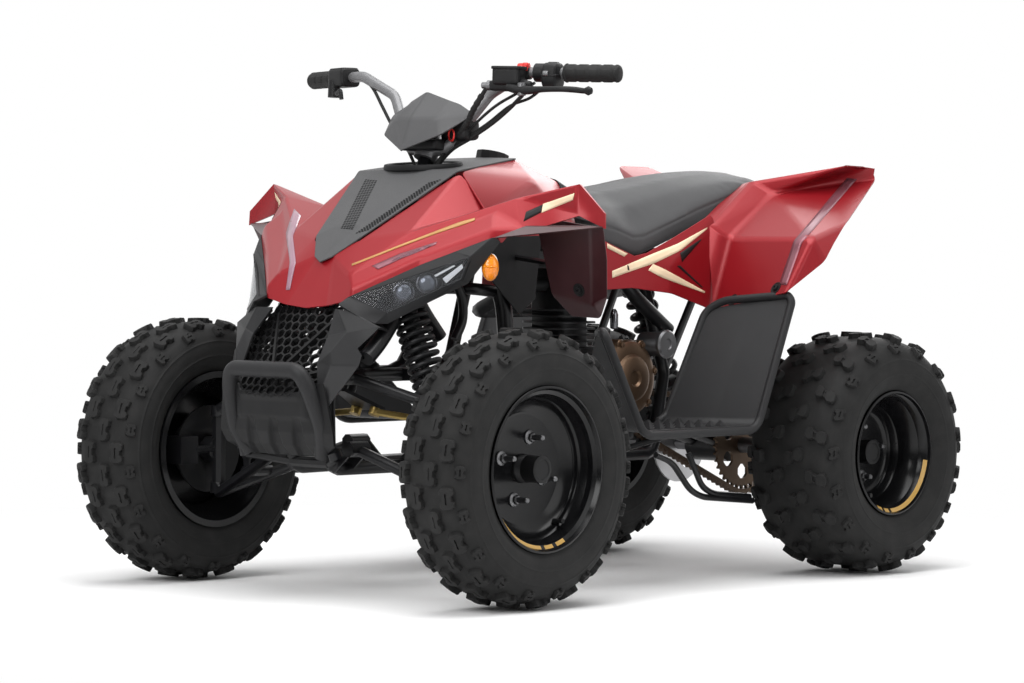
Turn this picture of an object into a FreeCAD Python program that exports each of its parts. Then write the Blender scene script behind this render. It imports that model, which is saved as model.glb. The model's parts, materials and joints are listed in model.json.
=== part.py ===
import FreeCAD, Part
import Sketcher
import math
import os

V = FreeCAD.Vector
document = FreeCAD.newDocument("QuadBike")
sheet = document.addObject("Spreadsheet::Sheet", "Sizes")

# Driving dimensions in millimetres, angles in degrees, counts as plain numbers.
# X points forward, Y to the rider's left and Z up from the ground.
sizes = [
    ("wheelbase", 1135),
    ("front_track", 891),
    ("rear_track", 773),
    ("body_half_width", 500),
    ("body_height", 1000),
    ("front_tyre_radius", 267),
    ("front_tyre_width", 174),
    ("front_rim_radius", 158),
    ("front_rim_width", 158),
    ("rear_tyre_radius", 254),
    ("rear_tyre_width", 243),
    ("rear_rim_radius", 130),
    ("rear_rim_width", 210),
    ("lug_height", 13),
    ("wheel_sides", 28),
    ("tube_sides", 8),
    ("fine_sides", 12),
    ("stay_sides", 6),
    ("rim_wall", 4),
    ("rim_fit", 0.4),
    ("front_face_inset", 2),
    ("rear_face_inset", 6),
    ("hub_radius", 27),
    ("hub_flange_radius", 58),
    ("hub_flange_wall", 8),
    ("hub_length", 52),
    ("hub_cap_length", 28),
    ("stub_radius", 11),
    ("disc_radius", 88),
    ("disc_bore_radius", 40),
    ("disc_wall", 4),
    ("disc_holes", 8),
    ("disc_hole_radius", 8),
    ("caliper_length", 46),
    ("caliper_width", 44),
    ("caliper_height", 56),
    ("knuckle_radius", 14),
    ("kingpin_inset", 80),
    ("kingpin_rise", 66),
    ("steering_rake", 25),
    ("steer_arm", 74),
    ("steer_arm_rise", 50),
    ("steer_arm_radius", 8.5),
    ("pitman_arm", 60),
    ("pitman_spread", 26),
    ("pitman_wall", 7),
    ("tie_rod_radius", 7),
    ("rod_end_radius", 12),
    ("rod_end_height", 14),
    ("stem_radius", 13),
    ("stem_top_height", 872),
    ("stem_foot_height", 388),
    ("stem_foot_reach", 565),
    ("head_length", 26),
    ("head_radius", 22),
    ("lower_head_height", 445),
    ("upper_head_height", 656),
    ("bar_radius", 11),
    ("bar_bend", 38),
    ("bar_width", 840),
    ("bar_setback", 98),
    ("bar_bore_radius", 7.5),
    ("bar_bore_depth", 40),
    ("clamp_height", 36),
    ("clamp_radius", 24),
    ("grip_radius", 17),
    ("grip_length", 122),
    ("switch_length", 34),
    ("switch_radius", 21),
    ("lever_wall", 8),
    ("reservoir_length", 42),
    ("reservoir_width", 30),
    ("reservoir_height", 24),
    ("frame_tube_radius", 14),
    ("frame_bend", 55),
    ("brace_radius", 9),
    ("arm_tube_radius", 11),
    ("arm_bush_radius", 16),
    ("arm_bush_length", 40),
    ("ball_housing_radius", 17),
    ("ball_housing_height", 22),
    ("spring_radius", 30),
    ("spring_wire_radius", 4.5),
    ("spring_turns", 6),
    ("spring_steps", 8),
    ("shock_body_radius", 17),
    ("shock_rod_radius", 7),
    ("shock_eye_radius", 11),
    ("shock_eye_length", 28),
    ("shock_collar_wall", 5),
    ("shock_neck", 31),
    ("shock_lift", 30),
    ("panel_wall", 3),
    ("hoop_radius", 15),
    ("hoop_bend", 36),
    ("skid_wall", 6),
    ("grille_depth", 8),
    ("grille_rib", 3.5),
    ("grille_cell", 30),
    ("tab_wall", 5),
    ("stay_radius", 6),
    ("pad_radius", 9),
    ("pad_wall", 3),
    ("lamp_depth", 30),
    ("lens_wall", 3),
    ("indicator_radius", 15),
    ("indicator_length", 16),
    ("tail_lamp_length", 14),
    ("tail_lamp_width", 120),
    ("tail_lamp_height", 30),
    ("seat_gap", 0.3),
    ("running_gap", 0.5),
    ("axle_radius", 17),
    ("bearing_radius", 38),
    ("swing_half_width", 49),
    ("swing_tube_radius", 14),
    ("swing_pivot_radius", 18),
    ("swing_pivot_half", 60),
    ("sprocket_teeth", 36),
    ("drive_teeth", 12),
    ("drive_bore_radius", 6),
    ("chain_pitch", 15.875),
    ("sprocket_wall", 6),
    ("sprocket_line", 80),
    ("sprocket_hole_radius", 17),
    ("sprocket_holes", 6),
    ("tooth_depth", 7),
    ("chain_width", 16),
    ("chain_height", 13),
    ("rear_disc_line", 96),
    ("case_length", 216),
    ("case_height", 180),
    ("case_width", 170),
    ("case_chamfer", 14),
    ("case_shift", 15),
    ("case_floor", 290),
    ("case_reach", -193),
    ("cover_length", 134),
    ("cover_height", 138),
    ("cover_depth", 44),
    ("cover_chamfer", 12),
    ("cover_setback", 8),
    ("cover_floor", 40),
    ("starter_radius", 27),
    ("starter_length", 60),
    ("cylinder_height", 165),
    ("cylinder_size", 96),
    ("fin_size", 126),
    ("fin_wall", 4),
    ("fin_pitch", 13),
    ("fin_count", 7),
    ("fin_chamfer", 12),
    ("exhaust_radius", 15),
    ("exhaust_bend", 24),
    ("silencer_radius", 40),
    ("silencer_length", 268),
    ("cap_radius", 34),
    ("cap_height", 20),
    ("neck_radius", 27),
    ("neck_depth", 40),
    ("overrun", 60),
]


def fill_sheet():
    for row, (alias, value) in enumerate(sizes, start=1):
        sheet.set(f"A{row}", alias)
        sheet.set(f"B{row}", str(value))
        sheet.setAlias(f"B{row}", alias)
    document.recompute()


fill_sheet()
size = {alias: float(sheet.get(alias)) for alias, value in sizes}
gap, running, overrun = size["seat_gap"], size["running_gap"], size["overrun"]
tube_sides, fine_sides, stay_sides = int(size["tube_sides"]), int(size["fine_sides"]), int(size["stay_sides"])

front_x = (size["wheelbase"] + size["rear_tyre_radius"] - size["front_tyre_radius"]) / 2
rear_x = front_x - size["wheelbase"]
front_hub = V(front_x, size["front_track"] / 2, size["front_tyre_radius"])
rear_hub = V(rear_x, size["rear_track"] / 2, size["rear_tyre_radius"])
origin, forward, left, up = V(0, 0, 0), V(1, 0, 0), V(0, 1, 0), V(0, 0, 1)


def at(x_share, y_share, z_share):
    """a place on the body, as shares of the wheelbase, half width and height"""
    return V(x_share * size["wheelbase"], y_share * size["body_half_width"], z_share * size["body_height"])


def places(shares):
    return {name: at(*share) for name, share in shares.items()}


def mirrored(point):
    return V(point.x, -point.y, point.z)


def between(start, end, share):
    return start + (end - start) * share


nodes = {}


def named(label, item):
    """keeps a finished sub-part under its own label"""
    item.Label = label
    nodes[label] = item
    return item


def free_shape(label, shape):
    """a sub-part whose outline no primitive or sketch gives"""
    piece = document.addObject("Part::Feature", label)
    piece.Shape = shape
    return named(label, piece)


def bound(kind, name, **formulas):
    """a document object whose sizes follow the sheet"""
    item = document.addObject(kind, name)
    for prop, formula in formulas.items():
        item.setExpression(prop, formula)
    document.recompute()
    return item


def stand(item, base, axis=up):
    """puts an object on its base with its own Z along the axis"""
    item.Placement = FreeCAD.Placement(base, FreeCAD.Rotation(up, axis))
    return item


def cut_item(name, base, tool):
    item = document.addObject("Part::Cut", name)
    item.Base, item.Tool = base, tool
    document.recompute()
    return item


def fuse_item(name, items):
    item = document.addObject("Part::MultiFuse", name)
    item.Shapes = items
    document.recompute()
    return item


def mirror_item(name, item):
    other = document.addObject("Part::Mirroring", name)
    other.Source, other.Base, other.Normal = item, origin, left
    document.recompute()
    return other


def pair_item(name, item):
    """an object and its mirror image side by side in one compound"""
    other = mirror_item(name + "_other", item)
    both = document.addObject("Part::Compound", name)
    both.Links = [item, other]
    document.recompute()
    return both


def body_plane(body, role):
    return next(feature for feature in body.Origin.OriginFeatures if feature.Role == role)


def outline_sketch(body, role, width, height, shares):
    """a closed outline in a plane of the body, its corners at shares of two sizes from the sheet"""
    sketch = body.newObject("Sketcher::SketchObject", body.Name + "_outline")
    sketch.AttachmentSupport = (body_plane(body, role), [""])
    sketch.MapMode = "FlatFace"
    corners = [V(x_share * size[width], y_share * size[height], 0) for x_share, y_share in shares]
    for start, end in zip(corners, corners[1:] + corners[:1]):
        sketch.addGeometry(Part.LineSegment(start, end))
    for line in range(len(corners)):
        sketch.addConstraint(Sketcher.Constraint("Coincident", line, 2, (line + 1) % len(corners), 1))
    for line, (corner, (x_share, y_share)) in enumerate(zip(corners, shares)):
        for kind, value, alias, share in (("DistanceX", corner.x, width, x_share), ("DistanceY", corner.y, height, y_share)):
            place = sketch.addConstraint(Sketcher.Constraint(kind, -1, 1, line, 1, value))
            sketch.setExpression(f"Constraints[{place}]", f"Sizes.{alias} * {share}")
    document.recompute()
    return sketch


def padded_body(name, role, width, height, shares, depth, midplane=True):
    body = document.addObject("PartDesign::Body", name)
    pad = body.newObject("PartDesign::Pad", name + "_pad")
    pad.Profile = outline_sketch(body, role, width, height, shares)
    pad.setExpression("Length", f"Sizes.{depth}")
    pad.Midplane = midplane
    document.recompute()
    return body, pad


def chamfered(body, base, alias):
    """bevels every edge of the body's last feature"""
    bevel = body.newObject("PartDesign::Chamfer", body.Name + "_bevel")
    bevel.Base = (base, [f"Edge{number}" for number in range(1, len(base.Shape.Edges) + 1)])
    bevel.setExpression("Size", f"Sizes.{alias}")
    document.recompute()
    return bevel


def bar(start, end, radius):
    """a round bar, for fits that turn"""
    axis = end - start
    return Part.makeCylinder(radius, axis.Length, start, axis)


def ring_about(centre, axis, radius, sides):
    """corners of a regular polygon round an axis, with a flat side up"""
    across = axis.cross(up)
    if across.Length < 1e-3 * axis.Length:
        across = left
    across = FreeCAD.Vector(across).normalize()
    turn = [FreeCAD.Rotation(axis, 360 * (corner + half_share) / sides) for corner in range(sides)]
    return [centre + rotation.multVec(across) * radius for rotation in turn]


half_share = 0.5


def solid_from(faces):
    """a closed solid from flat faces, each given by its corners"""
    shell = Part.makeShell([Part.Face(Part.makePolygon(list(corners) + [corners[0]])) for corners in faces])
    shell.sewShape()
    solid = Part.makeSolid(shell)
    if solid.Volume < 0:
        solid.reverse()
    return solid


def quads_between(ring, other):
    return [[ring[i - 1], ring[i], other[i], other[i - 1]] for i in range(len(ring))]


def tapered(start, end, start_radius, end_radius, sides):
    """a flat-sided bar or cone between two points"""
    axis = end - start
    rings = [ring_about(start, axis, start_radius, sides), ring_about(end, axis, end_radius, sides)]
    return solid_from(rings + quads_between(*rings))


def tube(start, end, radius, sides=tube_sides):
    return tapered(start, end, radius, radius, sides)


def bent_path(points, bend, steps):
    """the route's points, each corner replaced by points along its tangent arc"""
    path = [points[0]]
    for before, corner, after in zip(points, points[1:], points[2:]):
        back, on = (before - corner).normalize(), (after - corner).normalize()
        half_turn = (math.pi - back.getAngle(on)) / 2
        centre = corner + (back + on).normalize() * (bend / math.cos(half_turn))
        first = corner + back * bend * math.tan(half_turn) - centre
        last = corner + on * bend * math.tan(half_turn) - centre
        turns = [FreeCAD.Rotation(first.cross(last), math.degrees(2 * half_turn) * step / steps)
                 for step in range(steps + 1)]
        path += [centre + turn.multVec(first) for turn in turns]
    return path + [points[-1]]


def mitred(path, radius, sides):
    """a flat-sided tube along a path, mitred at its points"""
    ring = ring_about(path[0], path[1] - path[0], radius, sides)
    rings = [ring]
    for before, corner, after in zip(path, path[1:], path[2:]):
        along = (corner - before).normalize()
        cut = along + (after - corner).normalize()
        ring = [p + along * ((corner - p).dot(cut) / along.dot(cut)) for p in ring]
        rings.append(ring)
    along = (path[-1] - path[-2]).normalize()
    rings.append([p + along * (path[-1] - p).dot(along) for p in ring])
    faces = [rings[0], rings[-1]]
    for ring, other in zip(rings, rings[1:]):
        faces += quads_between(ring, other)
    return solid_from(faces)


bend_steps = 2


def pipe(points, radius, bend, sides=tube_sides):
    return mitred(bent_path(points, bend, bend_steps), radius, sides)


def joined(shapes):
    """one solid of shapes that overlap, with its flat faces merged where that keeps it whole"""
    solid = shapes[0].multiFuse(shapes[1:])
    tidy = solid.removeSplitter()
    return tidy if tidy.isValid() else solid


def mirror_shape(shape):
    return shape.mirror(origin, left)


def both_sides(shape):
    return Part.makeCompound([shape, mirror_shape(shape)])


def plate_between(start, end, half, away):
    """a flat plate from start to end, swept by away"""
    across = (end - start).cross(away).normalize() * half
    corners = [start + across, end + across, end - across, start - across]
    return Part.Face(Part.makePolygon(corners + corners[:1])).extrude(away)


def triangles_of(faces):
    return [(f[0], f[i], f[i + 1]) for f in faces for i in range(1, len(f) - 1)]


def turned_alike(triangles):
    """the triangles in one sense of rotation, spread from the first over shared edges"""
    waiting, done, used = list(triangles[1:]), [triangles[0]], set()
    used.update(zip(done[0], done[0][1:] + done[0][:1]))
    while waiting:
        for triangle in waiting:
            same = set(zip(triangle, triangle[1:] + triangle[:1]))
            back = {(b, a) for a, b in same}
            if back & used or same & used:
                chosen = triangle if back & used else triangle[::-1]
                done.append(chosen)
                used.update(zip(chosen, chosen[1:] + chosen[:1]))
                waiting.remove(triangle)
                break
        else:
            raise ValueError("the faces of a panel don't join")
    return done


def with_mirror(points, triangles):
    """the left half's points and triangles with those of the right half; the middle's are shared"""
    other = {n: n if p.y == 0 else n + "_right" for n, p in points.items()}
    points.update({other[n]: mirrored(p) for n, p in list(points.items())})
    return points, triangles + [tuple(other[n] for n in t) for t in triangles]


least_lean_share = 0.5


def panel(points, faces, wall, outward, both=True, lift=0):
    """a thin moulding: flat faces between named points, thickened inwards, and its mirror half"""
    points, triangles = dict(points), triangles_of(faces)
    if both:
        points, triangles = with_mirror(points, triangles)
    triangles = turned_alike(triangles)

    def normal(triangle):
        a, b, c = (points[n] for n in triangle)
        return (b - a).cross(c - a)

    total = V(0, 0, 0)
    for triangle in triangles:
        total += normal(triangle)
    if total.dot(outward) < 0:
        triangles = [t[::-1] for t in triangles]
    inner, outer = {}, {}
    for name in {n for t in triangles for n in t}:
        around = [normal(t).normalize() for t in triangles if name in t]
        mean = V(0, 0, 0)
        for direction in around:
            mean += direction
        mean.normalize()
        lean = max(min(mean.dot(direction) for direction in around), least_lean_share)
        outer[name] = points[name] + mean * (lift / lean)
        inner[name] = outer[name] - mean * (wall / lean)
    edges = [e for t in triangles for e in zip(t, t[1:] + t[:1])]
    rim_edges = [e for e in edges if (e[1], e[0]) not in edges]
    skin = [[outer[n] for n in t] for t in triangles]
    skin += [[inner[n] for n in t[::-1]] for t in triangles]
    for a, b in rim_edges:
        skin += [[outer[b], outer[a], inner[a]], [outer[b], inner[a], inner[b]]]
    return solid_from(skin).removeSplitter()


def inner_seat(shape, outside, inside):
    """where the line from outside to inside leaves the shape, and the face's direction there"""
    run = Part.makeLine(outside, inside).common(shape)
    leave = min((v.Point for v in run.Vertexes), key=lambda p: (p - inside).Length)
    spot = Part.Vertex(leave)
    face = min(shape.Faces, key=lambda f: f.distToShape(spot)[0])
    return leave, face.normalAt(*face.Surface.parameter(leave))


def stay(shape, outside, inside, anchor):
    """a stay from the frame to a flat pad that seats against the far side of a panel"""
    point, normal = inner_seat(shape, outside, inside)
    radius, start = size["stay_radius"], point + normal * gap
    end = start + normal * size["pad_wall"]
    elbow = end + normal * radius
    return [tube(start, end, size["pad_radius"], stay_sides), mitred([start, elbow, anchor], radius, stay_sides)]


def tabs(pivot, anchor, half, radius, pin=forward):
    """two plates across the pin that hold a bush between them and reach to a tube at the anchor"""
    pieces = []
    for side in (1, -1):
        centre = pivot + pin * side * (half + gap)
        away = pin * side * size["tab_wall"]
        pieces.append(tube(centre, centre + away, radius))
        along = anchor - pivot
        along -= pin * along.dot(pin)
        pieces.append(plate_between(centre, centre + along, radius * tab_width_share, away))
    return pieces


tab_width_share = 0.7


def ring_grid(profile, sides, lift=None):
    """a ring about Y with flat sides; lift(column, row) gives a cell's lug as (height, inset)"""
    step = 2 * math.pi / sides
    scale = 1 / math.cos(step / 2)

    def spot(angle, y, radius):
        return V(radius * scale * math.cos(angle), y, radius * scale * math.sin(angle))

    faces = []
    for column in range(sides):
        first = (column - half_share) * step
        for row, ((y0, r0), (y1, r1)) in enumerate(zip(profile, profile[1:] + profile[:1])):
            base = [spot(first, y0, r0), spot(first + step, y0, r0), spot(first + step, y1, r1), spot(first, y1, r1)]
            lug = lift(column, row) if lift else None
            faces += lug_faces(base, *lug) if lug else [base]
    return solid_from(faces)


def lug_faces(base, height, inset):
    """a block with sloping walls on one cell of the ring"""
    centre = (base[0] + base[1] + base[2] + base[3]) / len(base)
    rise = (base[3] - base[0]).cross(base[1] - base[0]).normalize() * height
    if rise.dot(V(centre.x, 0, centre.z)) < 0:
        rise = -rise
    top = [centre + (corner - centre) * (1 - inset) + rise for corner in base]
    return [top] + [[base[i], base[i - 1], top[i - 1], top[i]] for i in range(len(base))]


# The tyre's section, as shares of its height and half width, and the rows of the ring that carry lugs.
belly_share, crown_share, shoulder_share, shoulder_width_share, lug_inset_share = 0.42, 0.36, 0.2, 0.84, 0.3
outer_lug_rows, middle_lug_row = (3, 5), 4
rim_seat_share, rim_well_share, rim_shelf_share = 0.93, 0.76, 0.62


def tyre(radius, width, flange, rim_width):
    """a knobbly tyre as one closed ring: a centre row of blocks and two shoulder rows in between"""
    base = radius - size["lug_height"]
    bead, lip = flange * rim_seat_share + size["rim_fit"], flange + size["rim_fit"]
    half, seat_half = width / 2, rim_width / 2 - size["rim_wall"] - size["rim_fit"]
    belly = flange + (base - flange) * belly_share
    shoulder = base - (base - flange) * shoulder_share
    left_half = [(seat_half, bead), (seat_half, lip), (half, belly), (half * shoulder_width_share, shoulder),
                 (half * crown_share, base)]
    profile = [(-y, r) for y, r in left_half] + left_half[::-1]

    def lug(column, row):
        outer = row in outer_lug_rows and column % 2 == 1
        middle = row == middle_lug_row and column % 2 == 0
        return (size["lug_height"], lug_inset_share) if outer or middle else None

    return ring_grid(profile, int(size["wheel_sides"]), lug)


# The rim's bead seats and well, as shares of its half width.
well_start_share, well_end_share, outer_seat_share = 0.45, 0.1, 0.64


def rim(radius, width, face_y, bore):
    """a pressed steel wheel: flanges, bead seats, a well and a stepped face with its hub hole"""
    wall, half = size["rim_wall"], width / 2
    seat, well, shelf = radius * rim_seat_share, radius * rim_well_share, radius * rim_shelf_share
    profile = [
        (-half, radius), (wall - half, radius), (wall - half, seat), (-half * well_start_share, well),
        (half * well_end_share, well), (half - wall, seat), (half - wall, radius), (half, radius),
        (half * outer_seat_share + wall, seat - wall), (face_y + wall * 2, shelf), (face_y + wall, bore), (face_y, bore),
        (face_y, well - wall), (-half * well_start_share - wall, well - wall), (-half, seat - wall),
    ]
    return ring_grid(profile, int(size["wheel_sides"]))


def on_hub(shape, hub):
    placed = shape.copy()
    placed.translate(hub)
    return placed


front_face_y, rear_face_y = size["front_face_inset"], -size["rear_face_inset"]
hub_hole = size["hub_radius"] + size["rim_fit"]
front_tyre = tyre(size["front_tyre_radius"], size["front_tyre_width"], size["front_rim_radius"], size["front_rim_width"])
rear_tyre = tyre(size["rear_tyre_radius"], size["rear_tyre_width"], size["rear_rim_radius"], size["rear_rim_width"])
front_rim = rim(size["front_rim_radius"], size["front_rim_width"], front_face_y, hub_hole)
rear_rim = rim(size["rear_rim_radius"], size["rear_rim_width"], rear_face_y, hub_hole)


def hub_and_disc():
    """the hub with its flange behind the wheel's face, its cap, and the brake disc on its inner end"""
    flange_end = front_face_y - running
    inner_end = flange_end - size["hub_length"]
    flange_start, disc_end = flange_end - size["hub_flange_wall"], inner_end + size["disc_wall"]
    hub = joined([
        tube(V(0, inner_end, 0), V(0, front_face_y + size["hub_cap_length"], 0), size["hub_radius"], fine_sides),
        tube(V(0, flange_start, 0), V(0, flange_end, 0), size["hub_flange_radius"], fine_sides),
        tube(V(0, inner_end, 0), V(0, disc_end, 0), size["disc_radius"], int(size["wheel_sides"])),
    ])
    bore = bar(V(0, inner_end - overrun, 0), V(0, flange_start, 0), size["stub_radius"] + running)
    return hub.cut(bore)


front_hub_shape = hub_and_disc()
hub_inner_y = front_hub.y + front_face_y - running - size["hub_length"]
for word, place_side in (("left", lambda shape: shape), ("right", mirror_shape)):
    free_shape(f"front_tyre_{word}", place_side(on_hub(front_tyre, front_hub)))
    free_shape(f"front_rim_{word}", place_side(on_hub(front_rim, front_hub)))
    free_shape(f"front_hub_{word}", place_side(on_hub(front_hub_shape, front_hub)))
free_shape("rear_tyres", both_sides(on_hub(rear_tyre, rear_hub)))
free_shape("rear_rims", both_sides(on_hub(rear_rim, rear_hub)))

# The front uprights turn on kingpins that stand inboard of the wheels' centres.
kingpin = V(front_x, front_hub.y - size["kingpin_inset"], front_hub.z)
ball_offset = size["kingpin_rise"] + size["ball_housing_height"] / 2 + running
upper_ball, lower_ball = kingpin + up * ball_offset, kingpin - up * ball_offset
steer_eye = kingpin - forward * size["steer_arm"] + up * size["steer_arm_rise"]
caliper_reach_share, caliper_slot_share = 0.55, 0.5


def knuckle():
    rise, radius = size["kingpin_rise"], size["knuckle_radius"]
    carrier = tube(kingpin, V(kingpin.x, hub_inner_y - running, kingpin.z), size["hub_radius"])
    stub = bar(kingpin, V(kingpin.x, front_hub.y - size["hub_flange_wall"] * 2, kingpin.z), size["stub_radius"])
    arm_start, arm_end = kingpin + up * (size["steer_arm_rise"] - radius), steer_eye - up * radius
    eye = tube(arm_end - up * radius / 2, arm_end + up * radius / 2, size["rod_end_radius"])
    disc_y = hub_inner_y + size["disc_wall"] / 2
    jaw = size["disc_wall"] / 2 + running * 2
    reach, width = size["disc_radius"], size["caliper_width"]
    corner = V(kingpin.x + reach * caliper_reach_share, disc_y - width / 2, kingpin.z - size["caliper_height"] / 2)
    caliper = Part.makeBox(size["caliper_length"], width, size["caliper_height"], corner)
    slot = Part.makeBox(size["caliper_length"], jaw * 2, size["caliper_height"] * 2,
                        V(kingpin.x + reach * caliper_slot_share, disc_y - jaw, kingpin.z - size["caliper_height"]))
    bridge = tube(kingpin, corner + left * width / 4 + up * size["caliper_height"] / 2 + forward * radius,
                  size["steer_arm_radius"])
    return joined([tube(kingpin - up * rise, kingpin + up * rise, radius), carrier, stub, eye, caliper.cut(slot),
                   tube(arm_start, arm_end, size["steer_arm_radius"]), bridge.cut(slot)])


knuckle_shape = knuckle()
free_shape("knuckle_left", knuckle_shape)
free_shape("knuckle_right", mirror_shape(knuckle_shape))

# The stem leans back by its rake and stands on the pitman plate.
rake = math.radians(size["steering_rake"])
stem_axis = V(-math.sin(rake), 0, math.cos(rake))
stem_forward = V(math.cos(rake), 0, math.sin(rake))
stem_foot = V(size["stem_foot_reach"], 0, size["stem_foot_height"])


def on_stem(height):
    return stem_foot + stem_axis * ((height - stem_foot.z) / stem_axis.z)


clamp_centre = on_stem(size["stem_top_height"])
clamp_half = stem_axis * size["clamp_height"] / 2
pitman_eye = stem_foot - stem_forward * size["pitman_arm"] + left * size["pitman_spread"]


def pitman_plate():
    front = stem_foot + stem_forward * size["rod_end_radius"] * 2 + left * size["stem_radius"]
    rear = pitman_eye + (left - stem_forward) * size["rod_end_radius"]
    outline = [front, rear, mirrored(rear), mirrored(front)]
    return Part.Face(Part.makePolygon(outline + outline[:1])).extrude(stem_axis * size["pitman_wall"])


stem_shaft = bar(stem_foot, clamp_centre - clamp_half, size["stem_radius"])
free_shape("steering_stem", joined([stem_shaft, pitman_plate()]))


def tie_rod():
    """the rod below the pitman plate, with its two ends, drawn on the left"""
    half = size["rod_end_height"] / 2
    inner, outer = pitman_eye - stem_axis * (half + running), steer_eye + up * (half + running)
    return joined([tube(inner, outer, size["tie_rod_radius"]),
                   tube(inner - stem_axis * half, inner + stem_axis * half, size["rod_end_radius"]),
                   tube(outer - up * half, outer + up * half, size["rod_end_radius"])])


tie_rod_shape = tie_rod()
free_shape("tie_rod_left", tie_rod_shape)
free_shape("tie_rod_right", mirror_shape(tie_rod_shape))

# The handlebar rises from its clamp to the grips, which point out and back a little.
grip_rise_share = 1.022
grip_end = V(clamp_centre.x - size["bar_setback"], size["bar_width"] / 2, size["body_height"] * grip_rise_share)
bar_points = [clamp_centre + left * size["clamp_radius"] * 2, at(0.262, 0.26, 0.985), at(0.262, 0.44, 1.026), grip_end]
grip_axis = (bar_points[-1] - bar_points[-2]).normalize()
cowl_shares = {
    "peak": (0.305, 0.0, 0.990),
    "front": (0.334, 0.0, 0.884),
    "side": (0.322, 0.190, 0.886),
    "wing": (0.296, 0.224, 0.944),
    "front_low": (0.336, 0.060, 0.880),
}
cowl_faces = [("peak", "front", "front_low", "side"), ("peak", "side", "wing")]
cowl_shape = panel(places(cowl_shares), cowl_faces, size["panel_wall"], forward + up)
free_shape("cowl", cowl_shape)


def on_bar(distance):
    """a place on the grip's axis, measured inwards from the bar's end"""
    return grip_end - grip_axis * distance


def handlebar():
    points = [mirrored(p) for p in bar_points[::-1]] + bar_points
    block = tube(clamp_centre - clamp_half, clamp_centre + clamp_half, size["clamp_radius"], fine_sides)
    solid = joined([pipe(points, size["bar_radius"], size["bar_bend"], fine_sides), block]
                   + stay(cowl_shape, at(0.40, 0, 0.93), at(0.25, 0, 0.93), clamp_centre))
    bore = bar(on_bar(size["bar_bore_depth"]), on_bar(-overrun), size["bar_bore_radius"])
    return solid.cut(bore).cut(mirror_shape(bore))


free_shape("handlebar", handlebar())


def sleeve_item(name, start, length, radius):
    """a sleeve round the bar, from the bar's end inwards, and its mirror image"""
    outer = stand(bound("Part::Cylinder", name + "_outer", Radius=radius, Height=length), on_bar(start), -grip_axis)
    inner = stand(bound("Part::Cylinder", name + "_bore", Radius="Sizes.bar_radius + Sizes.seat_gap",
                        Height=f"({length}) * 3"), on_bar(start - overrun), -grip_axis)
    return cut_item(name + "_sleeve", outer, inner)


named("grips", pair_item("grips", sleeve_item("grip", 0, "Sizes.grip_length", "Sizes.grip_radius")))
switch_start = size["grip_length"] + gap
named("switch_housings", pair_item("switch_housings", sleeve_item("switch", switch_start, "Sizes.switch_length",
                                                                  "Sizes.switch_radius")))
perch_start = switch_start + size["switch_length"] + gap
lever_forward_share, lever_drop_share, lever_perch_share, lever_tip_share = 3.2, 1.1, 0.6, 1.15


def lever():
    """a perch on the bar and the blade in front of the grip, with the ball on its tip"""
    reach = forward * size["bar_radius"] * lever_forward_share - up * size["bar_radius"] * lever_drop_share
    width = size["switch_length"] * lever_perch_share
    perch = bar(on_bar(perch_start), on_bar(perch_start + width), size["switch_radius"])
    perch = perch.cut(bar(on_bar(perch_start - overrun), on_bar(perch_start + overrun * 2), size["bar_radius"] + gap))
    root = on_bar(perch_start + width / 2)
    pivot = root + reach
    tip = on_bar(size["grip_length"] * (lever_tip_share - 1)) + reach * lever_tip_share
    wall = size["lever_wall"]
    arm = plate_between(between(root, pivot, lever_perch_share), pivot, wall, -up * wall)
    blade = plate_between(pivot + grip_axis * -wall, tip, wall * 0.8, -up * wall)
    return joined([perch, arm, blade, tube(tip, tip - up * wall, wall)])


free_shape("levers", both_sides(lever()))
reservoir_drop_share = 0.25
reservoir_box = stand(bound("Part::Box", "reservoir_box", Length="Sizes.reservoir_length", Width="Sizes.reservoir_width",
                            Height="Sizes.reservoir_height"),
                      on_bar(perch_start + size["reservoir_width"]) - up * size["reservoir_height"] * reservoir_drop_share)
perch_space = stand(bound("Part::Cylinder", "perch_space", Radius="Sizes.switch_radius + Sizes.seat_gap",
                          Height="Sizes.overrun * 2"), on_bar(perch_start - overrun), -grip_axis)
named("reservoir", cut_item("reservoir", reservoir_box, perch_space))

fairing_shares = {
    "nose_middle": (0.601, 0.0, 0.566),
    "nose_corner": (0.599, 0.118, 0.572),
    "lens_top": (0.595, 0.226, 0.584),
    "edge_inner": (0.515, 0.430, 0.645),
    "edge_middle": (0.436, 0.630, 0.697),
    "edge_outer": (0.388, 0.700, 0.720),
    "edge_rear": (0.313, 0.820, 0.752),
    "corner_low": (0.318, 0.974, 0.720),
    "corner_high": (0.317, 0.972, 0.749),
    "tip": (0.318, 0.830, 0.806),
    "valley": (0.340, 0.444, 0.757),
    "ridge": (0.372, 0.640, 0.780),
    "brow": (0.489, 0.320, 0.712),
    "hood_top": (0.349, 0.276, 0.826),
    "hood_side": (0.521, 0.132, 0.697),
    "hood_front": (0.558, 0.054, 0.658),
    "hood_middle": (0.558, 0.0, 0.658),
}
fairing_faces = [
    ("nose_middle", "nose_corner", "hood_front", "hood_middle"),
    ("nose_corner", "lens_top", "hood_side", "hood_front"),
    ("lens_top", "edge_inner", "brow"),
    ("lens_top", "brow", "hood_side"),
    ("edge_inner", "edge_middle", "brow"),
    ("hood_side", "brow", "hood_top"),
    ("brow", "valley", "hood_top"),
    ("brow", "ridge", "valley"),
    ("brow", "edge_middle", "ridge"),
    ("edge_middle", "edge_outer", "ridge"),
    ("edge_outer", "edge_rear", "ridge"),
    ("ridge", "edge_rear", "tip"),
    ("valley", "ridge", "tip"),
    ("edge_rear", "corner_low", "corner_high", "tip"),
]
free_shape("front_fairing", panel(places(fairing_shares), fairing_faces, size["panel_wall"], up))

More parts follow.
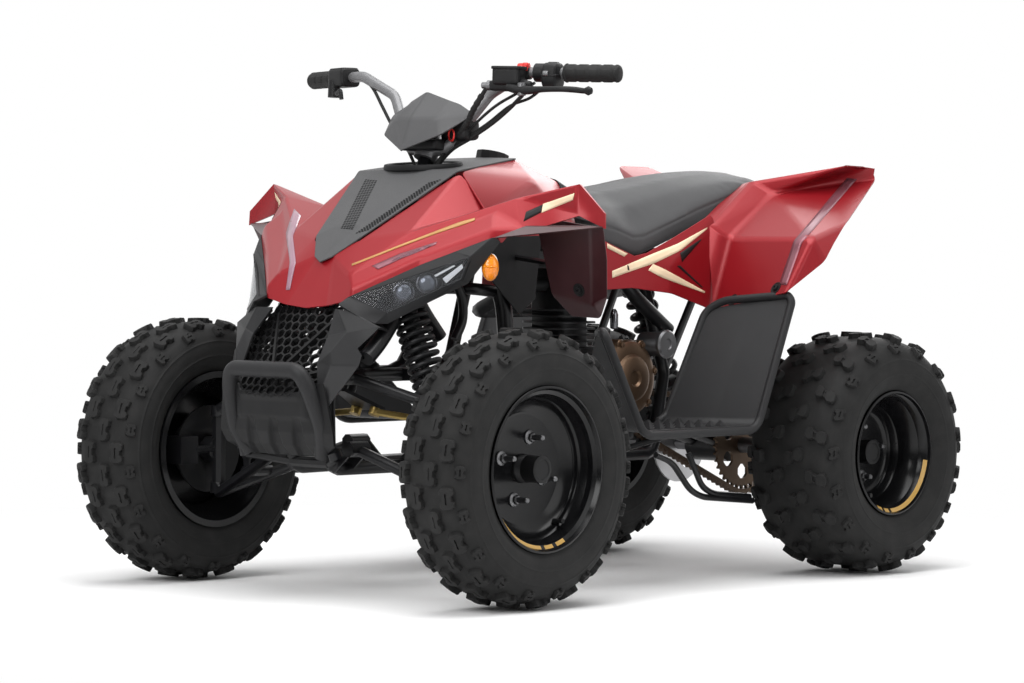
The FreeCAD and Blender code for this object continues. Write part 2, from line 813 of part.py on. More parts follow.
hood_shares = {
    "top": (0.349, 0.272, 0.828),
    "top_middle": (0.346, 0.0, 0.838),
    "side": (0.521, 0.128, 0.700),
    "front": (0.558, 0.050, 0.661),
    "front_middle": (0.558, 0.0, 0.661),
    "brow": (0.520, 0.0, 0.712),
}
hood_faces = [
    ("top_middle", "top", "side", "brow"),
    ("brow", "side", "front", "front_middle"),
]
hood_points = {name: p + up * gap for name, p in places(hood_shares).items()}
stem_hole = bar(on_stem(size["upper_head_height"]), on_stem(size["body_height"]), size["clamp_radius"])
free_shape("hood_cover", panel(hood_points, hood_faces, size["panel_wall"], up).cut(stem_hole))

tank_shares = {
    "front_middle": (0.342, 0.0, 0.842),
    "front": (0.345, 0.276, 0.832),
    "valley": (0.335, 0.440, 0.761),
    "top": (0.164, 0.200, 0.857),
    "top_middle": (0.164, 0.0, 0.860),
    "rear": (0.040, 0.190, 0.812),
    "rear_middle": (0.036, 0.0, 0.826),
    "low_rear": (0.076, 0.330, 0.716),
    "low_front": (0.300, 0.400, 0.690),
}
tank_faces = [
    ("front_middle", "front", "top", "top_middle"),
    ("top_middle", "top", "rear", "rear_middle"),
    ("front", "valley", "low_rear", "top"),
    ("top", "low_rear", "rear"),
    ("valley", "low_front", "low_rear"),
]
tank_points = places(tank_shares)
cap_axis = (tank_points["top"] - tank_points["top_middle"]).cross(tank_points["top_middle"] - tank_points["rear_middle"])
cap_axis = cap_axis.normalize() * (1 if cap_axis.z > 0 else -1)
cap_spot = at(0.132, 0.0, 0.852)
cap_centre = cap_spot - cap_axis * (cap_spot - tank_points["top_middle"]).dot(cap_axis)
filler_hole = bar(cap_centre - cap_axis * overrun, cap_centre + cap_axis * overrun, size["neck_radius"] + gap)
tank_shape = panel(tank_points, tank_faces, size["panel_wall"], up)
free_shape("tank_cover", tank_shape.cut(stem_hole).cut(filler_hole))
neck = stand(bound("Part::Prism", "filler_neck", Polygon="Sizes.fine_sides", Circumradius="Sizes.neck_radius",
                   Height="Sizes.neck_depth + Sizes.seat_gap * 2"), cap_centre - cap_axis * size["neck_depth"], cap_axis)
lid = stand(bound("Part::Prism", "filler_lid", Polygon="Sizes.fine_sides", Circumradius="Sizes.cap_radius",
                  Height="Sizes.cap_height"), cap_centre + cap_axis * gap, cap_axis)
named("fuel_cap", fuse_item("fuel_cap", [neck, lid]))

lamp_shares = {
    "inner_high": (0.591, 0.236, 0.578),
    "inner_low": (0.580, 0.336, 0.541),
    "outer_low": (0.458, 0.560, 0.610),
    "outer": (0.430, 0.640, 0.676),
    "outer_high": (0.450, 0.575, 0.680),
    "middle_high": (0.515, 0.440, 0.637),
}
lamp_faces = [
    ("inner_high", "inner_low", "outer_low", "middle_high"),
    ("middle_high", "outer_low", "outer", "outer_high"),
]
lamp_drop = up * (size["panel_wall"] + gap) + forward * size["lens_wall"]
housing_points = {name: p - lamp_drop for name, p in places(lamp_shares).items()}
housing = panel(housing_points, lamp_faces, size["lamp_depth"], forward + left, both=False)
lens = panel(housing_points, lamp_faces[:1], size["lens_wall"], forward + left, both=False, lift=size["lens_wall"] + gap)
free_shape("headlights", both_sides(housing))
free_shape("headlight_lenses", both_sides(lens))
spot, normal = inner_seat(housing, at(0.420, 0.500, 0.645), at(0.510, 0.600, 0.655))
indicator = stand(bound("Part::Prism", "indicator", Polygon="Sizes.fine_sides", Circumradius="Sizes.indicator_radius",
                        Height="Sizes.indicator_length"), spot + normal * gap, normal)
named("indicators", pair_item("indicators", indicator))

flap_shares = {
    "inner_high": (0.330, 0.640, 0.735),
    "outer_high": (0.317, 0.960, 0.712),
    "outer_low": (0.262, 0.880, 0.600),
    "tip": (0.248, 0.800, 0.545),
    "inner_low": (0.290, 0.660, 0.605),
}
flap_faces = [("inner_high", "outer_high", "outer_low", "inner_low"), ("inner_low", "outer_low", "tip")]
free_shape("front_flaps", both_sides(panel(places(flap_shares), flap_faces, size["panel_wall"], forward, both=False)))

# The seat: closed sections from the tank to the tail, each as shares of x, half widths, bottom and top.
seat_shares = [
    (-0.085, 0.15, 0.20, 0.700, 0.776),
    (-0.120, 0.24, 0.30, 0.672, 0.788),
    (-0.300, 0.23, 0.29, 0.716, 0.820),
    (-0.420, 0.24, 0.28, 0.760, 0.838),
    (-0.520, 0.20, 0.25, 0.790, 0.832),
]
seat_shoulder_share = 0.34


def seat():
    """flat facets between the sections, closed at both ends"""
    rings = []
    for x_share, top_share, low_share, bottom_share, crown in seat_shares:
        low, high = at(x_share, low_share, bottom_share), at(x_share, top_share, crown)
        middle = V(low.x, low.y, between(low, high, seat_shoulder_share).z)
        rings.append([mirrored(low), low, middle, high, mirrored(high), mirrored(middle)])
    faces = [rings[0][::-1], rings[-1]]
    for first, second in zip(rings, rings[1:]):
        faces += quads_between(first, second)
    return solid_from(triangles_of(faces))


free_shape("seat", seat())

side_shares = {
    "front_high": (-0.020, 0.330, 0.700),
    "front_low": (-0.010, 0.330, 0.594),
    "arch_front": (-0.076, 0.360, 0.598),
    "arch_rear": (-0.177, 0.380, 0.586),
    "rear_low": (-0.282, 0.392, 0.552),
    "rear_high": (-0.288, 0.384, 0.722),
    "seat_front": (-0.120, 0.330, 0.664),
}
side_faces = [
    ("front_high", "front_low", "arch_front", "seat_front"),
    ("arch_front", "arch_rear", "seat_front"),
    ("arch_rear", "rear_low", "rear_high", "seat_front"),
]
free_shape("side_panels", both_sides(panel(places(side_shares), side_faces, size["panel_wall"], left, both=False)))

rear_shares = {
    "seat_side": (-0.292, 0.386, 0.724),
    "inner_low": (-0.286, 0.394, 0.552),
    "outer_low": (-0.262, 0.830, 0.592),
    "crease_inner": (-0.312, 0.440, 0.702),
    "crease_outer": (-0.320, 0.860, 0.702),
    "edge_low": (-0.345, 0.880, 0.655),
    "edge_middle": (-0.372, 0.880, 0.692),
    "edge_high": (-0.440, 0.820, 0.732),
    "shelf": (-0.460, 0.400, 0.795),
    "shelf_top": (-0.440, 0.320, 0.822),
    "tip_front": (-0.547, 0.648, 0.858),
    "tip": (-0.636, 0.612, 0.856),
    "tip_low": (-0.656, 0.610, 0.830),
    "tail": (-0.640, 0.300, 0.800),
    "tail_middle": (-0.640, 0.0, 0.796),
    "shelf_rear": (-0.545, 0.270, 0.822),
    "shelf_rear_middle": (-0.545, 0.0, 0.822),
}
rear_faces = [
    ("seat_side", "inner_low", "outer_low", "crease_inner"),
    ("outer_low", "edge_low", "crease_outer", "crease_inner"),
    ("crease_inner", "crease_outer", "shelf"),
    ("seat_side", "crease_inner", "shelf"),
    ("seat_side", "shelf", "shelf_top"),
    ("crease_outer", "edge_low", "edge_middle", "edge_high"),
    ("crease_outer", "edge_high", "tip_low", "shelf"),
    ("shelf", "tip_low", "tip"),
    ("shelf", "tip", "tip_front"),
    ("shelf", "tip_front", "shelf_top"),
    ("shelf_top", "tip_front", "shelf_rear"),
    ("tip_front", "tip", "shelf_rear"),
    ("tip", "tail", "shelf_rear"),
    ("shelf_rear", "tail", "tail_middle", "shelf_rear_middle"),
]
rear_fender_shape = panel(places(rear_shares), rear_faces, size["panel_wall"], up)
free_shape("rear_fender", rear_fender_shape)
tail_spot, tail_normal = inner_seat(rear_fender_shape, at(-0.632, 0.02, 0.85), at(-0.632, 0.02, 0.70))
tail_lamp = bound("Part::Box", "tail_lamp", Length="Sizes.tail_lamp_length", Width="Sizes.tail_lamp_width",
                  Height="Sizes.tail_lamp_height")
stand(tail_lamp, tail_spot + tail_normal * gap, tail_normal)
tail_lamp.Placement.Base -= tail_lamp.Placement.Rotation.multVec(V(size["tail_lamp_length"], size["tail_lamp_width"], 0) / 2)
named("tail_lamp", tail_lamp)

foot_shares = {
    "riser_high_in": (0.190, 0.700, 0.520),
    "riser_high_out": (0.219, 0.760, 0.522),
    "riser_low_in": (0.100, 0.420, 0.318),
    "riser_low_out": (0.140, 0.830, 0.318),
    "heel_low_in": (-0.110, 0.440, 0.318),
    "heel_low_out": (-0.190, 0.830, 0.318),
    "heel_high_in": (-0.240, 0.440, 0.545),
    "heel_high_out": (-0.280, 0.830, 0.577),
}
foot_faces = [
    ("riser_high_in", "riser_high_out", "riser_low_out", "riser_low_in"),
    ("riser_low_in", "riser_low_out", "heel_low_out", "heel_low_in"),
    ("heel_low_in", "heel_low_out", "heel_high_out", "heel_high_in"),
]
free_shape("footboards", both_sides(panel(places(foot_shares), foot_faces, size["panel_wall"], up, both=False)))

# Bumper: a hoop of tube with a skid plate seated behind its legs.
hoop_points = [at(0.640, 0.240, 0.290), at(0.699, 0.190, 0.440)]
hoop_slope = V(hoop_points[1].x - hoop_points[0].x, 0, hoop_points[1].z - hoop_points[0].z).normalize()
hoop_back = left.cross(hoop_slope).normalize() * -1
free_shape("bumper_hoop", pipe(hoop_points + [mirrored(p) for p in hoop_points[::-1]], size["hoop_radius"],
                               size["hoop_bend"]))


def on_hoop_plane(y_share, z_share):
    """a place on the plane that the hoop's legs rest on, just behind them"""
    level = size["body_height"] * z_share
    foot = V(hoop_points[0].x, 0, hoop_points[0].z)
    centre = foot + hoop_slope * ((level - foot.z) / hoop_slope.z)
    return centre + left * size["body_half_width"] * y_share + hoop_back * (size["hoop_radius"] + gap)


plate_shares = {"high_middle": (0.0, 0.405), "high": (0.170, 0.405), "side": (0.300, 0.318),
                "low": (0.200, 0.281), "low_middle": (0.0, 0.281)}
plate_points = {name: on_hoop_plane(*share) for name, share in plate_shares.items()}
free_shape("bumper_plate", panel(plate_points, [tuple(plate_shares)], size["skid_wall"], forward))

grille_low, grille_high = at(0.640, 0.0, 0.410), at(0.596, 0.0, 0.556)
grille_up = (grille_high - grille_low).normalize()
grille_out = left.cross(grille_up).normalize()
grille_back = grille_out * (-1 if grille_out.x > 0 else 1)
# The grille's outline from the bottom middle, as shares of the body's half width and of its own height.
grille_outline_shares = [(0.150, 0.0), (0.330, 0.44), (0.230, 1.0)]
hexagon_sides, row_pitch_share, cell_margin_share = 6, 0.75, 0.5


def grille():
    """a plate of hexagonal cells between ribs, open right through"""
    height, depth = (grille_high - grille_low).Length, size["grille_depth"]

    def spot(across, rise):
        return grille_low + left * across + grille_up * rise

    half = [(y_share * size["body_half_width"], rise_share * height) for y_share, rise_share in grille_outline_shares]
    outline = half + [(-across, rise) for across, rise in half[::-1]]
    plate = Part.Face(Part.makePolygon([spot(*corner) for corner in outline + outline[:1]]))
    inner = plate.makeOffset2D(-size["grille_rib"] * 2)
    circle, cells = size["grille_cell"] / 2, []
    step = circle * math.cos(math.pi / hexagon_sides) * 2
    rows = int(height / (circle * row_pitch_share * 2)) + 2
    columns = int(size["body_half_width"] / step) + 1
    for row in range(rows):
        for column in range(-columns, columns + 1):
            middle = spot((column + (row % 2) / 2) * step, row * circle * row_pitch_share * 2)
            turns = [FreeCAD.Rotation(grille_back, 360 * corner / hexagon_sides) for corner in range(hexagon_sides)]
            reach = grille_up * (circle - size["grille_rib"] / 2)
            corners = [middle + turn.multVec(reach) for turn in turns]
            cell = Part.Face(Part.makePolygon(corners + corners[:1]))
            kept = cell.common(inner)
            if kept.Area > cell.Area * cell_margin_share:
                cells.append(kept.extrude(grille_back * depth))
    return plate.extrude(grille_back * depth).cut(cells)


free_shape("grille", grille())


def pivots(front_share, rear_share, y_share, z_share):
    return at(front_share, y_share, z_share), at(rear_share, y_share, z_share)


# Suspension arms: two legs from the frame's pivots to the ball housing on the kingpin's line.
upper_pivots = pivots(0.575, 0.397, 0.190, 0.430)
lower_pivots = pivots(0.560, 0.388, 0.190, 0.290)
shock_top = at(0.490, 0.290, 0.585)
shock_foot_share, shock_shift_share, upper_rise_share = 0.62, 0.082, 0.33
eye_half, eye_radius = size["shock_eye_length"] / 2, size["shock_eye_radius"]
front_cross, rear_cross = (between(pivot, lower_ball, shock_foot_share) for pivot in lower_pivots)
shock_foot = between(front_cross, rear_cross, half_share - shock_shift_share * 2) + up * size["shock_lift"]
shock_foot.y = front_cross.y


def arm(ends, ball, drop, extras):
    radius, half = size["arm_tube_radius"], size["arm_bush_length"] / 2
    legs = [tube(end, ball + up * drop, radius) for end in ends]
    bushes = [tube(end - forward * half, end + forward * half, size["arm_bush_radius"]) for end in ends]
    rise = up * size["ball_housing_height"] / 2
    return joined(legs + bushes + [tube(ball - rise, ball + rise, size["ball_housing_radius"], fine_sides)] + extras)


shock_tabs = tabs(shock_foot, shock_foot - up * size["shock_lift"], eye_half, eye_radius)
upper_arm = arm(upper_pivots, upper_ball, size["arm_tube_radius"] * upper_rise_share, [])
lower_arm = arm(lower_pivots, lower_ball, -size["arm_tube_radius"],
                [tube(front_cross, rear_cross, size["arm_tube_radius"])] + shock_tabs)
free_shape("upper_arms", both_sides(upper_arm))
free_shape("lower_arms", both_sides(lower_arm))
spring_end_share, body_end_share = 0.74, 0.55


def spring(top, end, radius, slack=0):
    """a coil of flat-sided wire between two seats"""
    axis = (end - top).normalize()
    wire, steps = size["spring_wire_radius"], int(size["spring_turns"] * size["spring_steps"])
    side = axis.cross(forward).normalize() * (radius - wire)
    start, run = top + axis * (wire - slack), (end - top).Length - (wire - slack) * 2
    path = []
    for step in range(steps + 1):
        turn = FreeCAD.Rotation(axis, 360 * step / size["spring_steps"])
        path.append(start + axis * run * step / steps + turn.multVec(side))
    return mitred(path, wire, 4)


def shock(top, foot, radius, pin=forward):
    """a damper with its collars and eyes, and the coil spring between the collars"""
    axis, length = (foot - top).normalize(), (foot - top).Length
    spring_top, spring_end = top + axis * size["shock_neck"], top + axis * length * spring_end_share
    wall = axis * size["shock_collar_wall"]
    damper = [tube(spring_top - wall, top + axis * length * body_end_share, size["shock_body_radius"]),
              tube(top, foot, size["shock_rod_radius"]),
              tube(spring_top - wall, spring_top, radius, fine_sides),
              tube(spring_end, spring_end + wall, radius, fine_sides)]
    eyes = [tube(p - pin * eye_half, p + pin * eye_half, eye_radius) for p in (top, foot)]
    solid = joined(damper + eyes)
    seats = spring_top + axis * gap, spring_end - axis * gap
    slack = spring(*seats, radius).distToShape(solid)[0] - gap
    return Part.makeCompound([solid, spring(*seats, radius, slack)])


front_shock = shock(shock_top, shock_foot, size["spring_radius"])
free_shape("front_shocks", Part.makeCompound([*front_shock.Solids, *mirror_shape(front_shock).Solids]))

# Rear axle with its hubs, sprocket and brake disc turn together in the swingarm's bearing carrier.
axle_centre = V(rear_hub.x, 0, rear_hub.z)
axle_half = rear_hub.y + rear_face_y - running


def axle_item():
    """the shaft, its two hubs and their flanges"""
    start = axle_centre - left * axle_half
    shaft = stand(bound("Part::Cylinder", "axle_shaft", Radius="Sizes.axle_radius"), start, left)
    shaft.Height = axle_half * 2
    pieces = [shaft]
    for side, word in ((1, "left"), (-1, "right")):
        end = axle_centre + left * side * axle_half
        flange = bound("Part::Prism", "flange_" + word, Polygon="Sizes.fine_sides", Circumradius="Sizes.hub_flange_radius",
                       Height="Sizes.hub_flange_wall")
        hub = bound("Part::Prism", "hub_" + word, Polygon="Sizes.fine_sides", Circumradius="Sizes.hub_radius",
                    Height="Sizes.hub_length + Sizes.hub_cap_length")
        pieces += [stand(flange, end, left * -side), stand(hub, end + left * side * size["hub_cap_length"], left * -side)]
    return fuse_item("rear_axle", pieces)


named("rear_axle", axle_item())
sprocket_radius = size["chain_pitch"] / 2 / math.sin(math.pi / size["sprocket_teeth"])
drive_radius = size["chain_pitch"] / 2 / math.sin(math.pi / size["drive_teeth"])
sprocket_centre = axle_centre + left * size["sprocket_line"]
# A tooth's outline: places in the step from one tooth to the next, and its reach as shares of the depth.
tooth_shares = [(-0.28, -0.5), (-0.10, 0.5), (0.10, 0.5), (0.28, -0.5)]
hole_line_share = 0.62


def toothed_wheel(centre, teeth, pitch_radius, bore):
    """a sprocket whose teeth are flat-topped points between the chain's rollers"""
    points, wall = [], size["sprocket_wall"]
    for tooth in range(int(teeth)):
        for step_share, reach_share in tooth_shares:
            angle = 2 * math.pi * (tooth + step_share) / teeth
            radius = pitch_radius + reach_share * size["tooth_depth"]
            points.append(centre + V(radius * math.cos(angle), -wall / 2, radius * math.sin(angle)))
    face = Part.Face(Part.makePolygon(points + points[:1]))
    return face.extrude(left * wall).cut(bar(centre - left * wall, centre + left * wall, bore))


def lightened(wheel, centre, count, line, radius):
    """a ring of round holes through a disc or sprocket"""
    for hole in range(int(count)):
        turn = FreeCAD.Rotation(left, 360 * (hole + half_share) / count)
        spot = centre + turn.multVec(forward) * line
        wheel = wheel.cut(tube(spot - left * overrun, spot + left * overrun, radius))
    return wheel


axle_fit = size["axle_radius"] + gap
sprocket = toothed_wheel(sprocket_centre, size["sprocket_teeth"], sprocket_radius, axle_fit)
free_shape("sprocket", lightened(sprocket, sprocket_centre, size["sprocket_holes"], sprocket_radius * hole_line_share,
                                 size["sprocket_hole_radius"]))
brake_centre = axle_centre - left * size["rear_disc_line"]
disc_half = left * size["disc_wall"] / 2
disc = tube(brake_centre - disc_half, brake_centre + disc_half, size["disc_radius"], int(size["wheel_sides"]))
disc = disc.cut(bar(brake_centre - disc_half * 2, brake_centre + disc_half * 2, axle_fit))
free_shape("rear_disc", lightened(disc, brake_centre, size["disc_holes"], size["disc_radius"] * hole_line_share,
                                  size["disc_hole_radius"]))

drive_centre = at(-0.195, 0.160, 0.336)
link_waist_share = 0.55


def chain_path():
    """evenly spaced pins round both sprockets, each with the direction away from the loop"""
    line = drive_centre - sprocket_centre
    lean = math.asin((sprocket_radius - drive_radius) / line.Length)
    tilt = math.atan2(line.z, line.x)
    first, last = tilt + math.pi / 2 - lean, tilt - math.pi / 2 + lean
    run = line.Length * math.cos(lean)
    big_arc = sprocket_radius * (2 * math.pi - first + last)
    lengths = [run, drive_radius * (first - last), run, big_arc]
    links = round(sum(lengths) / size["chain_pitch"])

    def place(distance):
        def direction(angle):
            return V(math.cos(angle), 0, math.sin(angle))
        if distance < lengths[0]:
            out = direction(first)
            return sprocket_centre + out * sprocket_radius + FreeCAD.Rotation(left, 90).multVec(out) * distance, out
        distance -= lengths[0]
        if distance < lengths[1]:
            out = direction(first - distance / drive_radius)
            return drive_centre + out * drive_radius, out
        distance -= lengths[1]
        if distance < lengths[2]:
            out = direction(last)
            return drive_centre + out * drive_radius + FreeCAD.Rotation(left, 90).multVec(out) * distance, out
        out = direction(last - (distance - lengths[2]) / sprocket_radius)
        return sprocket_centre + out * sprocket_radius, out

    step = sum(lengths) / links / 2
    return [place(step * (count + half_share)) for count in range(links * 2)]


def chain():
    """one closed run of links above the teeth, each with its waist"""
    clear = size["tooth_depth"] / 2 + gap
    tall, wide = size["chain_height"], size["chain_width"]
    outer, inner = [], []
    for count, (pin, out) in enumerate(chain_path()):
        height = tall if count % 2 else tall * link_waist_share
        outer.append(pin + out * (clear + height) - left * wide / 2)
        inner.append(pin + out * clear - left * wide / 2)
    faces = [Part.Face(Part.makePolygon(loop + loop[:1])) for loop in (outer, inner)]
    return faces[0].extrude(left * wide).cut(faces[1].extrude(left * wide * 2)).removeSplitter()


free_shape("chain", chain())

# Swingarm: two legs from its pivot to the bearing carrier round the rear axle.
swing_pivot = at(-0.268, 0.0, 0.330)
swing_middle = between(swing_pivot, axle_centre, 0.55)
rear_shock_foot, rear_shock_top = swing_middle + up * size["shock_lift"], at(-0.255, 0.0, 0.640)


def swingarm():
    half, radius = size["swing_half_width"], size["swing_tube_radius"]
    line = half - radius - size["pad_wall"]
    legs = [tube(swing_pivot + left * y, axle_centre + left * y, radius) for y in (-line, line)]
    pivot_tube = tube(swing_pivot - left * size["swing_pivot_half"], swing_pivot + left * size["swing_pivot_half"],
                      size["swing_pivot_radius"])
    carrier = tube(axle_centre - left * half, axle_centre + left * half, size["bearing_radius"], fine_sides)
    cross = tube(swing_middle - left * line, swing_middle + left * line, radius)
    solid = joined([carrier, pivot_tube, cross] + legs + tabs(rear_shock_foot, swing_middle, eye_half, eye_radius, left))
    return solid.cut(bar(axle_centre - left * (half + overrun), axle_centre + left * (half + overrun),
                         size["axle_radius"] + running))


free_shape("swingarm", swingarm())
rear_shock = shock(rear_shock_top, rear_shock_foot, size["spring_radius"], left)
free_shape("rear_shock", rear_shock)

# Engine: the crankcase with the drive sprocket's shaft, its side cover, the finned cylinder and the exhaust.
case_origin = V(size["case_reach"], -size["case_shift"], size["case_floor"])
# The side outlines of the crankcase and its cover, as shares of their length and height.
case_shares = [(0.0, 0.18), (0.14, 0.0), (0.86, 0.0), (1.0, 0.16), (1.0, 0.72), (0.82, 1.0), (0.2, 1.0), (0.0, 0.76)]
cover_shares = [(0.0, 0.3), (0.22, 0.0), (0.74, 0.0), (1.0, 0.34), (0.96, 0.74), (0.7, 1.0), (0.26, 1.0), (0.0, 0.72)]
fin_shares = [(-0.5, -0.34), (-0.34, -0.5), (0.34, -0.5), (0.5, -0.34), (0.5, 0.34), (0.34, 0.5), (-0.34, 0.5), (-0.5, 0.34)]


def crankcase():
    body, pad = padded_body("crankcase", "XZ_Plane", "case_length", "case_height", case_shares, "case_width")
    chamfered(body, pad, "case_chamfer")
    return stand(body, case_origin)


case_body = crankcase()
shaft_start = V(drive_centre.x, case_origin.y, drive_centre.z)
lobe_half = left * (size["swing_pivot_half"] - size["tab_wall"])
output = joined([
    tube(shaft_start - lobe_half, shaft_start + lobe_half, size["bearing_radius"], fine_sides),
    tube(shaft_start, V(drive_centre.x, sprocket_centre.y, drive_centre.z), size["knuckle_radius"]),
    toothed_wheel(drive_centre + left * (sprocket_centre.y - drive_centre.y), size["drive_teeth"], drive_radius,
                  size["drive_bore_radius"]),
])
output_item = document.addObject("Part::Feature", "output_shaft")
output_item.Shape = output
named("engine_block", fuse_item("engine_block", [case_body, output_item]))
case_side_y = case_origin.y + size["case_width"] / 2

cover_body, cover_pad = padded_body("engine_cover", "XZ_Plane", "cover_length", "cover_height", cover_shares, "cover_depth",
                                    False)
chamfered(cover_body, cover_pad, "cover_chamfer")
cover_base = V(case_origin.x + size["cover_setback"], case_side_y + gap + size["cover_depth"],
               case_origin.z + size["cover_floor"])
named("engine_cover", stand(cover_body, cover_base))


def cylinder_body():
    """the barrel's block with its fins spread by a linear pattern"""
    body, pad = padded_body("engine_cylinder", "XY_Plane", "cylinder_size", "cylinder_size", fin_shares, "cylinder_height",
                            False)
    fin = body.newObject("PartDesign::Pad", "fin")
    fin.Profile = outline_sketch(body, "XY_Plane", "fin_size", "fin_size", fin_shares)
    fin.setExpression("Length", "Sizes.fin_wall")
    document.recompute()
    spread = body.newObject("PartDesign::LinearPattern", "fins")
    spread.Originals = [fin]
    spread.Direction = (body_plane(body, "Z_Axis"), [""])
    spread.setExpression("Length", "Sizes.fin_pitch * (Sizes.fin_count - 1)")
    spread.setExpression("Occurrences", "Sizes.fin_count")
    body.Tip = spread
    document.recompute()
    return body


cylinder_reach_share = 0.56
cylinder_foot = case_origin + forward * size["case_length"] * cylinder_reach_share + up * (size["case_height"] + gap)
cylinder_foot += left * size["case_shift"] / 2
named("engine_cylinder", stand(cylinder_body(), cylinder_foot))
port_share = 0.8


def exhaust_item():
    """the header from the cylinder's front face, and the silencer along the right side"""
    start = cylinder_foot + up * size["cylinder_height"] * port_share + forward * (size["cylinder_size"] / 2 + gap)
    can_start = at(-0.325, -0.340, 0.600)
    points = [start, start + forward * overrun, at(0.030, -0.295, 0.545), at(-0.190, -0.295, 0.545), can_start]
    header = document.addObject("Part::Feature", "header")
    header.Shape = pipe(points, size["exhaust_radius"], size["exhaust_bend"])
    can = bound("Part::Prism", "silencer", Polygon="Sizes.fine_sides", Circumradius="Sizes.silencer_radius",
                Height="Sizes.silencer_length")
    stand(can, can_start, at(-0.560, -0.340, 0.630) - can_start)
    return fuse_item("exhaust", [header, can])


named("exhaust", exhaust_item())

airbox_shares = {"front_low": (0.030, 0.675), "front_high": (0.030, 0.790), "rear_high": (-0.076, 0.765),
                 "rear_low": (-0.083, 0.668)}
airbox_half_share = 0.150


def airbox():
    """the closed box between the tank and the seat"""
    corners = [at(x_share, -airbox_half_share, z_share) for x_share, z_share in airbox_shares.values()]
    return Part.Face(Part.makePolygon(corners + corners[:1])).extrude(at(0, airbox_half_share * 2, 0))


free_shape("airbox", airbox())


# Each stay: what it holds, a line through the panel from outside to inside, and its foot on a tube.
stay_shares = [
    ("front_fairing", (0.440, 0.240, 0.900), (0.440, 0.240, 0.600), (0.425, 0.100, 0.650)),
    ("front_fairing", (0.525, 0.210, 0.800), (0.525, 0.210, 0.550), (0.500, 0.100, 0.555)),
    ("hood_cover", (0.460, 0.040, 0.900), (0.460, 0.040, 0.600), (0.425, 0.100, 0.650)),
    ("tank_cover", (0.200, 0.120, 0.950), (0.200, 0.120, 0.700), (0.200, 0.110, 0.680)),
    ("tank_cover", (0.290, 0.120, 0.950), (0.290, 0.120, 0.700), (0.290, 0.106, 0.668)),
    ("airbox", (-0.020, 0.080, 0.950), (-0.020, 0.080, 0.600), (-0.020, 0.180, 0.649)),
    ("seat", (-0.300, 0.150, 0.900), (-0.300, 0.150, 0.600), (-0.300, 0.226, 0.667)),
    ("seat", (-0.430, 0.150, 0.900), (-0.430, 0.150, 0.600), (-0.430, 0.220, 0.702)),
    ("side_panels", (-0.080, 0.600, 0.640), (-0.080, 0.250, 0.640), (-0.080, 0.200, 0.640)),
    ("side_panels", (-0.240, 0.600, 0.640), (-0.240, 0.300, 0.640), (-0.240, 0.224, 0.653)),
    ("rear_fender", (-0.375, 0.640, 0.900), (-0.375, 0.640, 0.600), (-0.375, 0.230, 0.684)),
    ("rear_fender", (-0.590, 0.180, 0.900), (-0.590, 0.180, 0.700), (-0.545, 0.201, 0.739)),
    ("footboards", (0.050, 0.600, 0.450), (0.050, 0.600, 0.250), (0.050, 0.170, 0.250)),
    ("footboards", (-0.080, 0.600, 0.450), (-0.080, 0.600, 0.250), (-0.080, 0.190, 0.250)),
    ("front_flaps", (0.360, 0.780, 0.640), (0.240, 0.780, 0.640), (0.240, 0.110, 0.675)),
    ("headlights", (0.600, 0.400, 0.590), (0.500, 0.280, 0.560), (0.561, 0.100, 0.470)),
    ("grille", (0.680, 0.312, 0.474), (0.560, 0.312, 0.474), (0.561, 0.100, 0.470)),
]
# The side loops' corners, and the ends of the cross tubes on the left.
low_shares = [(0.590, 0.100, 0.430), (0.585, 0.100, 0.250), (0.250, 0.150, 0.250), (-0.215, 0.210, 0.250),
              (-0.245, 0.210, 0.420), (-0.165, 0.225, 0.640)]
high_shares = [(0.590, 0.100, 0.430), (0.430, 0.100, 0.650), (0.200, 0.110, 0.680), (-0.140, 0.220, 0.630),
               (-0.380, 0.230, 0.685), (-0.550, 0.200, 0.740)]
middle_shares = [(0.590, 0.100, 0.430), (0.300, 0.120, 0.430), (0.230, 0.110, 0.677)]
brace_shares = [(-0.245, 0.210, 0.420), (-0.380, 0.230, 0.685)]
crossing_shares = [(0.585, 0.100, 0.262), (0.250, 0.150, 0.250), (0.590, 0.100, 0.425), (-0.550, 0.200, 0.740),
                   (0.200, 0.108, 0.682), (-0.215, 0.210, 0.250), (-0.255, 0.224, 0.669)]
cradle_shares = [(-0.120, 0.195, 0.250), (-0.020, 0.182, 0.250)]


